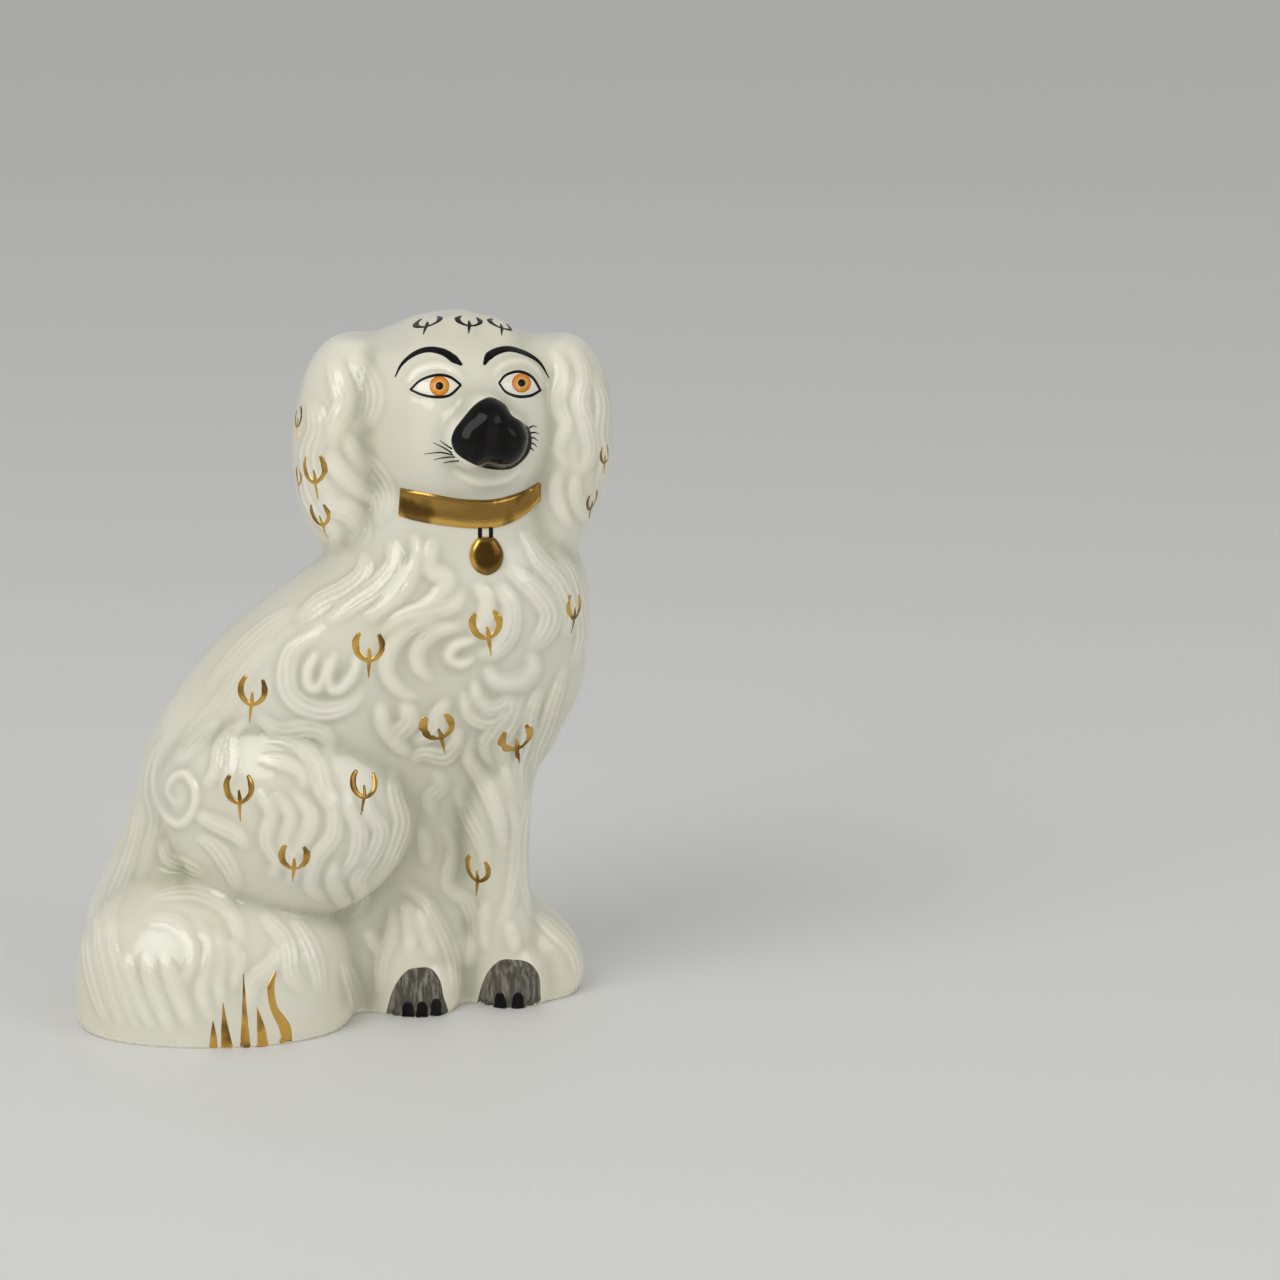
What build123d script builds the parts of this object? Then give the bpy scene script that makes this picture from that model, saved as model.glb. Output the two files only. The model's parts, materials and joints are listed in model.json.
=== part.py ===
from build123d import *
import os
from math import copysign, cos, pi, sin

# A seated spaniel chimney ornament in slip-cast, glazed earthenware.
# The body faces +X, the head is turned to look along -Y, and +Z is up.
# The standing plane is at z = 0. All sizes are in millimetres.

# The casting
wall = 4.5
plate_thickness = 4.0
base_recess = 1.0
vent_radius = 6.0

# Body: level ovals stacked from the standing plane up into the head
body_half_length = 97.0
body_half_depth = 48.0
body_height = 200.0
body_power = 2.4

# Head: level ovals too, and the turn of the face toward the chest
head_half_width = 35.0
head_half_depth = 42.0
head_half_height = 35.0
head_along_share = 0.4072
head_near_share = -0.0417
head_rise = 19.0
head_x = head_along_share * body_half_length
head_y = head_near_share * body_half_depth
head_z = body_height + head_rise
head_power = 2.4
face_turn = 18.0

# Ears: one long drop on each side of the head
ear_half_width = 18.6
ear_half_depth = 28.5
ear_length = 81.0
ear_rise = 26.5
ear_top_z = head_z + ear_rise
ear_overlap = 3.5
ear_spread = head_half_width + ear_overlap
ear_setback = 3.5
ear_y = head_y + ear_setback
ear_power = 2.1

# Haunch: the dog's right thigh, on the near side
haunch_half_length = 47.0
haunch_half_depth = 37.0
haunch_half_height = 43.0
haunch_along_share = -0.2165
haunch_near_share = -0.1875
haunch_rise_share = 0.4
haunch_x = haunch_along_share * body_half_length
haunch_y = haunch_near_share * body_half_depth
haunch_z = haunch_rise_share * body_height
haunch_lean = 12.0
haunch_turn = -12.0

# Hind leg: a broad shin and a paw below the haunch
shin_half_width = 18.0
shin_half_depth = 17.0
shin_half_height = 41.0
shin_along_share = 0.2165
shin_far_share = 0.021
shin_z = 10.0
shin_x = shin_along_share * body_half_length
shin_y = shin_far_share * body_half_depth
hind_paw_half_width = 14.0
hind_paw_half_depth = 15.0
hind_paw_half_height = 18.0
hind_paw_ahead = 5.5
hind_paw_reach = 3.5
hind_paw_z = 7.0
hind_paw_x = shin_x + hind_paw_ahead
hind_paw_y = shin_y - hind_paw_reach

# Forelegs: the near one ends in a paw, the far one flares into a foot
foreleg_half_width = 13.0
foreleg_height_share = 0.54
foreleg_height = foreleg_height_share * body_height
foreleg_power = 2.2
near_leg_half_depth = 14.0
leg_along_share = 0.567
near_leg_far_share = 0.125
near_leg_x = leg_along_share * body_half_length
near_leg_y = near_leg_far_share * body_half_depth
near_paw_half_width = 16.0
near_paw_half_depth = 17.0
near_paw_half_height = 20.0
near_paw_ahead = 3.5
near_paw_setback = 3.5
near_paw_z = 7.0
near_paw_x = near_leg_x + near_paw_ahead
near_paw_y = near_leg_y + near_paw_setback
far_leg_half_depth = 19.5
far_leg_setback = 14.0
far_leg_x = near_leg_x
far_leg_y = near_leg_y + far_leg_setback
far_foot_reach = 30.0

# Tail: a broad plume that wraps the near side of the base
tail_half_length = 50.7
tail_half_depth = 38.0
tail_height = 51.0
tail_along_share = -0.4918
tail_near_share = -0.3125
tail_x = tail_along_share * body_half_length
tail_y = tail_near_share * body_half_depth
tail_power = 2.2

# Muzzle: a nose over two flews, on the front of the head
muzzle_reach = 42.0
nose_half_width = 9.0
nose_half_depth = 12.0
nose_half_height = 9.5
nose_rise = 3.4
flew_half_width = 8.5
flew_half_depth = 11.5
flew_half_height = 9.8
flew_spacing = 12.0
flew_drop = 2.4

# Collar, and the padlock that hangs from it on two loops
collar_drop = 15.2
collar_bottom_z = body_height - collar_drop
collar_height = 10.6
collar_thickness = 1.8
collar_width = 49.0
collar_ahead = 7.0
collar_x = head_x + collar_ahead
lock_width = 12.2
lock_height = 13.4
lock_thickness = 3.2
lock_ahead = 6.0
lock_x = collar_x + lock_ahead
lock_shoulder = 6.4
loop_width = 1.5
loop_length = 3.2
loop_thickness = 1.6
loop_spacing = 3.8

# Enamel and gilt, fired on as thin skins
enamel = 0.5
gilt = 0.4
eye_spacing = 30.0
eye_rise = 15.4
eye_width = 16.5
eye_height = 8.2
eye_line = 0.9
iris_radius = 3.6
pupil_radius = 1.5
brow_length = 23.0
brow_arch = 4.4
brow_fall = 6.5
brow_stroke = 2.8
brow_spacing = 33.0
brow_rise = 21.5
skin_lift = 0.5
patch_width = 21.5
patch_height = 22.0
claw_width = 3.2
claw_height = 6.2
claw_pitch = 5.2
stroke_width = 4.2
stroke_height = 28.0
stroke_pitch = 6.6
stroke_ahead = 14.7
stroke_x = tail_x + stroke_ahead

# Rows of shares of the body: height, back, front, near, far
BODY_SHARES = (
    (0.000, -0.880, 0.510, -0.26, 0.93),
    (0.070, -0.955, 0.520, -0.28, 0.98),
    (0.160, -1.000, 0.520, -0.29, 1.00),
    (0.260, -0.907, 0.525, -0.27, 1.00),
    (0.350, -0.835, 0.570, -0.36, 0.98),
    (0.435, -0.785, 0.707, -0.54, 0.96),
    (0.520, -0.717, 0.804, -0.72, 0.94),
    (0.610, -0.596, 0.882, -0.85, 0.92),
    (0.710, -0.407, 0.901, -0.91, 0.90),
    (0.800, -0.165, 0.887, -0.89, 0.87),
    (0.880, 0.010, 0.814, -0.81, 0.80),
    (0.950, 0.080, 0.761, -0.78, 0.74),
    (1.000, 0.126, 0.736, -0.72, 0.66),
)
# Rows of shares of the head: rise, half width, near, far
HEAD_SHARES = (
    (-1.00, 0.50, 0.42, 0.50),
    (-0.80, 0.74, 0.72, 0.70),
    (-0.50, 0.90, 0.93, 0.85),
    (-0.15, 0.98, 1.00, 0.95),
    (0.20, 1.00, 0.97, 1.00),
    (0.50, 0.93, 0.86, 0.96),
    (0.75, 0.72, 0.66, 0.80),
    (0.92, 0.40, 0.38, 0.52),
    (1.00, 0.12, 0.12, 0.18),
)
# Rows of shares of the right ear: drop, outer, inner, near, far
RIGHT_EAR_SHARES = (
    (0.000, 0.14, 0.60, 0.34, 0.44),
    (0.035, 0.38, 0.86, 0.56, 0.66),
    (0.120, 0.66, 1.03, 0.76, 0.86),
    (0.260, 0.88, 1.06, 0.90, 0.96),
    (0.430, 1.00, 1.02, 0.98, 1.00),
    (0.600, 0.98, 0.99, 1.00, 0.98),
    (0.770, 0.83, 0.92, 0.95, 0.90),
    (0.890, 0.55, 0.73, 0.80, 0.74),
    (0.965, 0.28, 0.46, 0.55, 0.50),
    (1.000, 0.08, 0.22, 0.28, 0.26),
)
# Rows of shares of the left ear: drop, outer, inner, near, far
LEFT_EAR_SHARES = (
    (0.000, 0.14, 0.60, 0.34, 0.44),
    (0.035, 0.46, 0.86, 0.56, 0.66),
    (0.120, 0.74, 1.03, 0.76, 0.86),
    (0.260, 0.94, 1.06, 0.90, 0.96),
    (0.430, 1.00, 1.02, 0.98, 1.00),
    (0.600, 0.90, 0.99, 1.00, 0.98),
    (0.770, 0.62, 0.92, 0.95, 0.90),
    (0.890, 0.38, 0.73, 0.80, 0.74),
    (0.965, 0.20, 0.46, 0.55, 0.50),
    (1.000, 0.05, 0.22, 0.28, 0.26),
)
EAR_SHARES = {-1: RIGHT_EAR_SHARES, 1: LEFT_EAR_SHARES}
# Rows of shares of the near foreleg: height, back, front, near, far
NEAR_LEG_SHARES = (
    (0.00, -1.00, 1.00, -0.70, 1.00),
    (0.23, -1.04, 0.96, -0.72, 1.00),
    (0.46, -1.08, 0.80, -1.00, 1.00),
    (0.70, -1.15, 0.90, -1.70, 1.00),
    (0.88, -1.15, 0.85, -2.00, 0.90),
    (1.00, -1.05, 0.50, -1.60, 0.60),
)
# Rows of shares of the far foreleg: height, back, front, near, far
FAR_LEG_SHARES = (
    (0.00, -0.90, 0.92, -0.96, 0.96),
    (0.04, -0.96, 0.99, -1.00, 1.00),
    (0.11, -0.96, 0.98, -1.00, 1.00),
    (0.18, -0.92, 0.89, -0.96, 0.97),
    (0.25, -0.85, 0.68, -0.90, 0.92),
    (0.33, -0.80, 0.40, -0.86, 0.88),
    (0.42, -0.80, 0.25, -0.86, 0.86),
    (0.54, -0.80, 0.21, -0.86, 0.84),
    (0.68, -0.82, 0.27, -0.86, 0.80),
    (0.84, -0.84, 0.44, -0.80, 0.66),
    (1.00, -0.84, 0.36, -0.70, 0.30),
)
# Rows of shares of the tail: height, back, front, near, far
TAIL_SHARES = (
    (0.00, -0.98, 0.98, -0.97, 0.97),
    (0.20, -1.00, 1.00, -1.00, 1.00),
    (0.45, -0.97, 0.97, -0.97, 0.97),
    (0.68, -0.90, 0.89, -0.86, 0.86),
    (0.86, -0.76, 0.72, -0.66, 0.66),
    (0.96, -0.55, 0.50, -0.42, 0.42),
    (1.00, -0.30, 0.26, -0.20, 0.20),
)
# Shares of the gilt strokes on the tail: place, height, lean
STROKE_SHARES = (
    (-1.80, 0.35, 0.00),
    (-1.05, 0.59, 0.10),
    (-0.10, 0.96, -0.10),
    (0.80, 0.52, 0.10),
    (2.20, 1.00, -0.85),
)
# Half width of a painted brow at its outer tip, crown and inner end
BROW_SHARES = (0.10, 0.36, 0.50)

oval_points = 12
overrun = 300.0


def oval(z, back, front, near, far, power):
    """A level, closed, rounded outline between its four extremes."""
    mid_x, half_x = (back + front) / 2, (front - back) / 2
    mid_y, half_y = (near + far) / 2, (far - near) / 2
    points = []
    for step in range(oval_points):
        turn = 2 * pi * step / oval_points
        x = copysign(abs(cos(turn)) ** (2 / power), cos(turn))
        y = copysign(abs(sin(turn)) ** (2 / power), sin(turn))
        points.append(Vector(mid_x + half_x * x, mid_y + half_y * y, z))
    return Face(Wire(Edge.make_spline(points, periodic=True)))


def egg(centre, half_sizes, grow=0, lean=0, turn=0):
    """A sphere drawn out to three half sizes, leaned about Y and turned about Z."""
    sizes = tuple(size + grow for size in half_sizes)
    return Pos(*centre) * Rotation(0, lean, turn) * scale(Sphere(1), by=sizes)


def above_floor(form):
    """What of a form is above the standing plane."""
    room = Box(overrun, overrun, overrun, align=(Align.CENTER, Align.CENTER, Align.MIN))
    return form & room


face = Pos(head_x, head_y, head_z) * Rotation(0, 0, face_turn)


def body_form(grow=0, sink=0):
    """The body and neck. An inner copy sinks through the standing plane."""
    rows = []
    for rise, back, front, near, far in BODY_SHARES:
        z = rise * body_height if rise else -sink
        rows.append(oval(z, back * body_half_length - grow, front * body_half_length + grow,
                         near * body_half_depth - grow, far * body_half_depth + grow, body_power))
    return loft(rows)


def head_form(grow=0):
    """The skull and cheeks, turned to face the viewer."""
    rows = []
    for rise, half, near, far in HEAD_SHARES:
        half_width = half * head_half_width + grow
        rows.append(oval(rise * (head_half_height + grow), -half_width, half_width,
                         -near * head_half_depth - grow, far * head_half_depth + grow, head_power))
    return face * loft(rows)


def ear_form(side, grow=0):
    """One ear: side is -1 for the dog's right and 1 for its left."""
    rows = []
    middle = head_x + side * ear_spread
    for drop, outer, inner, near, far in EAR_SHARES[side]:
        z = ear_top_z - drop * ear_length + (1 - 2 * drop) * grow
        ends = sorted((middle + side * (outer * ear_half_width + grow),
                       middle - side * (inner * ear_half_width + grow)))
        rows.append(oval(z, *ends, ear_y - near * ear_half_depth - grow,
                         ear_y + far * ear_half_depth + grow, ear_power))
    return loft(rows)


def right_ear_form(grow=0):
    """The dog's right ear, on the viewer's left."""
    return ear_form(-1, grow)


def left_ear_form(grow=0):
    """The dog's left ear, on the viewer's right."""
    return ear_form(1, grow)


def haunch_form(grow=0):
    """The near thigh, deep toward the belly and sunk in the flank behind."""
    centre = (haunch_x, haunch_y, haunch_z)
    half_sizes = (haunch_half_length, haunch_half_depth, haunch_half_height)
    return egg(centre, half_sizes, grow, haunch_lean, haunch_turn)


def tail_form(grow=0, sink=0):
    """The plume of the tail. An inner copy sinks through the standing plane."""
    rows = []
    for rise, back, front, near, far in TAIL_SHARES:
        z = rise * (tail_height + grow) if rise else -sink
        rows.append(oval(z, tail_x + back * tail_half_length - grow,
                         tail_x + front * tail_half_length + grow,
                         tail_y + near * tail_half_depth - grow,
                         tail_y + far * tail_half_depth + grow, tail_power))
    return loft(rows)


def hind_leg_form(grow=0):
    """The shin and the paw below the haunch."""
    shin = egg((shin_x, shin_y, shin_z), (shin_half_width, shin_half_depth, shin_half_height), grow)
    paw = egg((hind_paw_x, hind_paw_y, hind_paw_z),
              (hind_paw_half_width, hind_paw_half_depth, hind_paw_half_height), grow)
    return above_floor(shin + paw)


def leg_column(shares, x, y, reach, half_depth, grow=0):
    """A foreleg from the standing plane up into the chest."""
    rows = []
    for rise, back, front, near, far in shares:
        rows.append(oval(rise * foreleg_height, x + back * foreleg_half_width - grow,
                         x + front * reach + grow, y + near * half_depth - grow,
                         y + far * half_depth + grow, foreleg_power))
    return loft(rows)


def near_foreleg_form(grow=0):
    """The near foreleg with its paw."""
    column = leg_column(NEAR_LEG_SHARES, near_leg_x, near_leg_y, foreleg_half_width,
                        near_leg_half_depth, grow)
    paw = egg((near_paw_x, near_paw_y, near_paw_z),
              (near_paw_half_width, near_paw_half_depth, near_paw_half_height), grow)
    return column + above_floor(paw)


def far_foreleg_form():
    """The far foreleg, which flares into its foot."""
    return leg_column(FAR_LEG_SHARES, far_leg_x, far_leg_y, far_foot_reach, far_leg_half_depth)


def base_plate_form():
    """The plate that closes the casting, with the vent through it."""
    cavity = body_form(-wall, wall) + tail_form(-wall, wall)
    slab = Pos(0, 0, base_recess) * Box(overrun, overrun, plate_thickness,
                                        align=(Align.CENTER, Align.CENTER, Align.MIN))
    vent = Cylinder(vent_radius, overrun)
    return (cavity & slab) - vent


def stencil(outline, place=Pos(0, 0, 0)):
    """Everything that lies behind an outline, as seen along +Y from its place."""
    outlook = (0, -1, 0)
    return place * extrude(Plane.XZ * outline, amount=overrun, dir=outlook)


def body_skin(thickness, outline):
    """A skin of clay on the near side of the body, cut to an outline."""
    return (body_form(thickness) & stencil(outline)) - body_form()


def muzzle_form():
    """The black nose and flews."""
    lump = egg((0, -muzzle_reach, nose_rise), (nose_half_width, nose_half_depth, nose_half_height))
    for side in (-1, 1):
        centre = (side * flew_spacing / 2, -muzzle_reach, -flew_drop)
        lump += egg(centre, (flew_half_width, flew_half_depth, flew_half_height))
    return face * lump


def collar_outline():
    """The gilt band across the throat, from ear to ear."""
    return Pos(collar_x, collar_bottom_z) * Rectangle(
        collar_width, collar_height, align=(Align.CENTER, Align.MIN))


def padlock_outline():
    """The padlock: straight across the top, full and round below."""
    top_z = collar_bottom_z - loop_length
    low_z = top_z - lock_height
    wide_z = low_z + lock_width / 2
    left, right = lock_x - lock_width / 2, lock_x + lock_width / 2
    top_left, top_right = lock_x - lock_shoulder / 2, lock_x + lock_shoulder / 2
    bowl = Edge.make_three_point_arc((left, wide_z), (lock_x, low_z), (right, wide_z))
    return Face(Wire([
        bowl,
        Edge.make_spline([(right, wide_z), (top_right, top_z)], tangents=[(0, 1), (-1, 1)]),
        Edge.make_line((top_right, top_z), (top_left, top_z)),
        Edge.make_spline([(top_left, top_z), (left, wide_z)], tangents=[(-1, -1), (0, -1)]),
    ]))


def loop_outlines():
    """The two short bars of the padlock's loop."""
    bars = Sketch()
    for side in (-1, 1):
        place = Pos(lock_x + side * loop_spacing / 2, collar_bottom_z)
        bars += place * Rectangle(loop_width, loop_length, align=(Align.CENTER, Align.MAX))
    return bars


def almond(width, height):
    """The outline of an eye: two arcs that meet in points."""
    left, right = (-width / 2, 0), (width / 2, 0)
    upper = Edge.make_three_point_arc(left, (0, height / 2), right)
    lower = Edge.make_three_point_arc(right, (0, -height / 2), left)
    return Face(Wire([upper, lower]))


def brow(side):
    """One painted eyebrow: an arch, thin outside and heavy toward the nose."""
    tip, crown, heel = [share * brow_stroke for share in BROW_SHARES]
    outer, inner = side * brow_length / 2, -side * brow_length / 2
    upper = [(outer, tip - brow_fall), (0, brow_arch + crown), (inner, heel)]
    lower = [(inner, -heel), (0, brow_arch - crown), (outer, -tip - brow_fall)]
    return Face(Wire([
        Edge.make_spline(upper),
        Edge.make_line(upper[-1], lower[0]),
        Edge.make_spline(lower),
        Edge.make_line(lower[-1], upper[0]),
    ]))


def both_sides(draw, spacing, rise):
    """The same drawing on each side of the face."""
    sketch = Sketch()
    for side in (-1, 1):
        sketch += Pos(side * spacing / 2, rise) * draw(side)
    return sketch


def arch(width, height):
    """A doorway outline that stands just above the standing plane."""
    shaft = height - width / 2
    door = Rectangle(width, shaft, align=(Align.CENTER, Align.MIN))
    return Pos(0, skin_lift) * (door + Pos(0, shaft) * Circle(width / 2))


def claw_row(count):
    """Painted claws side by side."""
    row = Sketch()
    for step in range(count):
        row += Pos((step - (count - 1) / 2) * claw_pitch, 0) * arch(claw_width, claw_height)
    return row


def flame(place, tall, lean):
    """One brushed stroke: a foot on the base and a pointed tip."""
    x = stroke_x + place * stroke_pitch
    half, height = stroke_width / 2, tall * stroke_height
    tip = (x + lean * stroke_pitch, height)
    left, right = (x - half, skin_lift), (x + half, skin_lift)
    return Face(Wire([
        Edge.make_line(left, right),
        Edge.make_spline([right, (x + half, height / 2), tip]),
        Edge.make_spline([tip, (x - half, height / 2), left]),
    ]))


# Each clay piece, its form, its hollow, and the pieces it was stuck onto
CASTING = (
    ("body", body_form, lambda: body_form(-wall, wall), ()),
    ("head", head_form, lambda: head_form(-wall), ("body",)),
    ("right_haunch", haunch_form, lambda: haunch_form(-wall), ("body",)),
    ("tail", tail_form, lambda: tail_form(-wall, wall), ("body", "right_haunch")),
    ("left_foreleg", far_foreleg_form, None, ("body",)),
    ("right_foreleg", near_foreleg_form, None, ("body", "left_foreleg")),
    ("right_hind_leg", hind_leg_form, None, ("body", "right_haunch", "tail")),
    ("right_ear", right_ear_form, lambda: right_ear_form(-wall), ("body", "head")),
    ("left_ear", left_ear_form, lambda: left_ear_form(-wall), ("body", "head")),
)


def cast_pieces():
    """The outer forms, and the clay pieces cut from them and hollowed."""
    outers = {name: form() for name, form, hollow, carriers in CASTING}
    hollows = {name: hollow() for name, form, hollow, carriers in CASTING if hollow}
    pieces = {}
    for name, form, hollow, carriers in CASTING:
        stuck_on = [other for other, *_, onto in CASTING if name in onto]
        taken = [outers[carrier] for carrier in carriers]
        taken += [hollows[cavity] for cavity in [name] + stuck_on if cavity in hollows]
        pieces[name] = outers[name] - taken
    return outers, pieces


def build():
    """Every piece by name, in place."""
    outers, pieces = cast_pieces()
    ears = [outers["right_ear"], outers["left_ear"]]
    muzzle = muzzle_form()

    pieces["base_plate"] = base_plate_form() - [pieces["body"], pieces["tail"]]
    pieces["muzzle"] = muzzle - outers["head"]
    pieces["collar"] = body_skin(collar_thickness, collar_outline()) - [outers["head"], *ears]
    pieces["padlock"] = body_skin(lock_thickness, padlock_outline())
    pieces["padlock_loops"] = body_skin(loop_thickness, loop_outlines())

    irises = both_sides(lambda side: Circle(iris_radius), eye_spacing, eye_rise)
    pupils = both_sides(lambda side: Circle(pupil_radius), eye_spacing, eye_rise)
    lids = both_sides(lambda side: almond(eye_width + eye_line, eye_height + eye_line)
                      - almond(eye_width - eye_line, eye_height - eye_line), eye_spacing, eye_rise)
    brows = both_sides(brow, brow_spacing, brow_rise)
    head_enamel = head_form(enamel) - [outers["head"], muzzle, *ears]
    for name, drawing in (("irises", irises - pupils - lids), ("pupils", pupils),
                          ("eye_lines", lids), ("brows", brows)):
        pieces[name] = head_enamel & stencil(drawing, face)

    paws = (("right_hind_leg", hind_leg_form, hind_paw_x, 3),
            ("right_foreleg", near_foreleg_form, near_paw_x, 2))
    patches, claws = [], []
    for leg, form, x, count in paws:
        skin = form(enamel) - [outers[leg], outers["body"]]
        nails = Pos(x, 0) * claw_row(count)
        patch = Pos(x, 0) * arch(patch_width, patch_height) - nails
        patches += (skin & stencil(patch)).solids()
        claws += (skin & stencil(nails)).solids()
    pieces["paw_patches"] = Compound(patches)
    pieces["claws"] = Compound(claws)

    tail_gilt = tail_form(gilt) - outers["tail"]
    strokes = []
    for shares in STROKE_SHARES:
        strokes += (tail_gilt & stencil(flame(*shares))).solids()
    pieces["tail_strokes"] = Compound(strokes)
    return pieces


def centred(pieces):
    """The pieces moved so that the middle of the whole stands over the origin."""
    box = Compound(list(pieces.values())).bounding_box()
    middle = box.center()
    to_origin = Pos(-middle.X, -middle.Y, -box.min.Z)
    return {name: to_origin * piece for name, piece in pieces.items()}


if __name__ == "__main__":
    os.makedirs("parts", exist_ok=True)
    for name, piece in centred(build()).items():
        export_step(piece, f"parts/{name}.step")
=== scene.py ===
"""A mantelpiece spaniel in glazed earthenware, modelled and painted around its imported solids."""

import json
import math

import bmesh
import bpy
import numpy as np
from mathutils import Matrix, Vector
from mathutils.bvhtree import BVHTree

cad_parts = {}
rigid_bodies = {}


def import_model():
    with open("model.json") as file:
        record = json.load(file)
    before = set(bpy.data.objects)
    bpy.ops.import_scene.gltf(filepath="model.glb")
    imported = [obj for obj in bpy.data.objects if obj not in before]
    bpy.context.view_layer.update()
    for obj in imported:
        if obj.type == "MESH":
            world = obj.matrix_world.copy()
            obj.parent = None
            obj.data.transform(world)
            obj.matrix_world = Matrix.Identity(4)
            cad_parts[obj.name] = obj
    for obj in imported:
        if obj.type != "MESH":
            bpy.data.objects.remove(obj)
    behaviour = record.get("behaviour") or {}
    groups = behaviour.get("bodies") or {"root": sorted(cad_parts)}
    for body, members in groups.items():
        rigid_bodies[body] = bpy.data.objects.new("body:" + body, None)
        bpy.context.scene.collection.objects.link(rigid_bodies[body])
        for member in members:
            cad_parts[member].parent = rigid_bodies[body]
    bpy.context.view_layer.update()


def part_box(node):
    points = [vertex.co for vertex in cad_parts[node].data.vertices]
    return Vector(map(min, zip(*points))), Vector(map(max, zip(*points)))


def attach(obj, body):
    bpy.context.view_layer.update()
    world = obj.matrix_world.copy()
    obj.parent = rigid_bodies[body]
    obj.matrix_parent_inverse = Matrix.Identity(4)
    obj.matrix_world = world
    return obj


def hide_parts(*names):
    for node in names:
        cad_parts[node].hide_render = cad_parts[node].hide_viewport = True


bl_info = {
    "name": "Mantelpiece Spaniel",
    "version": (1, 0, 0),
    "blender": (4, 5, 0),
    "location": "View3D > Sidebar > Spaniel",
    "description": "Models, glazes and gilds a seated spaniel figure",
    "category": "Add Mesh",
}

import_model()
MM = 0.001

# The photograph's camera, in the figure's own frame
PHOTO_PIXELS = 1280
CAMERA_DISTANCE = 1.5
CAMERA_ELEVATION = math.radians(13.0)
CAMERA_TARGET = (0.10635, 0.0034, 0.136)
PIXELS_PER_METRE = 2800.0
FOCAL_PIXELS = PIXELS_PER_METRE * CAMERA_DISTANCE
SENSOR_WIDTH = 36.0

# How far a glazed piece reaches into the figure behind its joins
SKIRT_DEPTH = 3 * MM
# Passes of smoothing over modelled joins, over fine relief and over the depth of hollows
JOIN_PASSES = 90
FINE_PASSES = 2
HOLLOW_PASSES = 3
# How the skin is softened to tell its hollows: each pass's share, and the passes
EASE_SHARE = 0.6
EASE_PASSES = 24
# Passes in which neighbouring faces vote on the piece they belong to
VOTE_PASSES = 6
# The longest edge that a painted shape should have, and the passes that halve longer ones
PAINT_STEP = 0.9 * MM
PAINT_PASSES = 3
# Paint whose edge is longer has slipped off the figure; the muzzle's far side may stretch more
PAINT_TEAR = 4 * MM
MUZZLE_TEAR = 40 * MM
# How far around its middle a sprig takes the lie of the skin
SPRIG_REACH = 5 * MM
# A lock's shape: half its spread as a share of its width, how much of that its ends keep, how much
# higher one side stands, and the shares of its length in which it rises and falls
LOCK_SPREAD = 0.64
LOCK_ENDS = 0.45
LOCK_LEAN = 0.18
LOCK_RISE = 0.18
LOCK_FALL = 0.22
# How squarely the skin must face the camera to count as near or to have a join filled, and the fade
NEAR_SIDE = 0.02
JOIN_SIDE = -0.5
NEAR_FADE = 0.3
# The plug and the pit of the vent, as shares of its radius
PLUG_SHARE = 1.3
PIT_SHARE = 1.35
# The underside: how low it lies, how deep its pit is and how far it lies behind the plate, as shares
# of the plate's top, and the most that its normal may rise
UNDER_SHARE = 0.75
PIT_DEPTH_SHARE = 5.0
BEHIND_SHARE = 1.04
UNDER_FACING = -0.6
# Points around a circle, and rows across the collar
CIRCLE_POINTS = 12
BAND_ROWS = 14
# How high some paint stands, in coats of its enamel or gilt
PUPIL_COATS = 2.4
EYE_LINE_COATS = 1.3
MUZZLE_COATS = 2.5
LOOP_COATS = 2.0
# The studio: half the floor's width, and each soft box's name, place and size
FLOOR_HALF = 20.0
SOFT_BOXES = (("key", (-1.1, -1.5, 1.7), 1.5), ("fill", (1.6, -1.1, 1.1), 1.1))

# The clay pieces, in the order in which a face picks the one it belongs to
CLAY_NODES = ("body", "head", "right_ear", "left_ear", "right_haunch", "right_hind_leg",
              "right_foreleg", "left_foreleg", "tail")


def toward_camera():
    """The unit vector from the target to the camera."""
    return np.array((0.0, -math.cos(CAMERA_ELEVATION), math.sin(CAMERA_ELEVATION)))


def camera_axes():
    """Right, up and back of the photograph's camera, and its place."""
    back = toward_camera()
    right = np.array((1.0, 0.0, 0.0))
    up = np.cross(back, right)
    return right, up, back, np.array(CAMERA_TARGET) + back * CAMERA_DISTANCE


def to_pixels(points):
    """Where points of the figure fall in the photograph."""
    right, up, back, eye = camera_axes()
    sight = np.asarray(points) - eye
    depth = -(sight @ back)
    middle = PHOTO_PIXELS / 2
    return np.stack((middle + FOCAL_PIXELS * (sight @ right) / depth,
                     middle - FOCAL_PIXELS * (sight @ up) / depth), axis=-1)


def pixel_ray(x, y):
    """The sight line through a pixel of the photograph."""
    right, up, back, eye = camera_axes()
    middle = PHOTO_PIXELS / 2
    sight = right * (x - middle) + up * (middle - y) - back * FOCAL_PIXELS
    return Vector(eye), Vector(sight).normalized()


class Socket:
    """A shader socket that Python's signs can do sums on."""

    def __init__(self, shader, link):
        self.shader = shader
        self.link = link

    def sum(self, operation, first, second):
        return self.shader.node("ShaderNodeMath", {"operation": operation}, {0: first, 1: second})

    def __add__(self, other):
        return self.sum("ADD", self, other)

    def __radd__(self, other):
        return self.sum("ADD", other, self)

    def __sub__(self, other):
        return self.sum("SUBTRACT", self, other)

    def __rsub__(self, other):
        return self.sum("SUBTRACT", other, self)

    def __mul__(self, other):
        return self.sum("MULTIPLY", self, other)

    def __rmul__(self, other):
        return self.sum("MULTIPLY", other, self)


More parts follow.
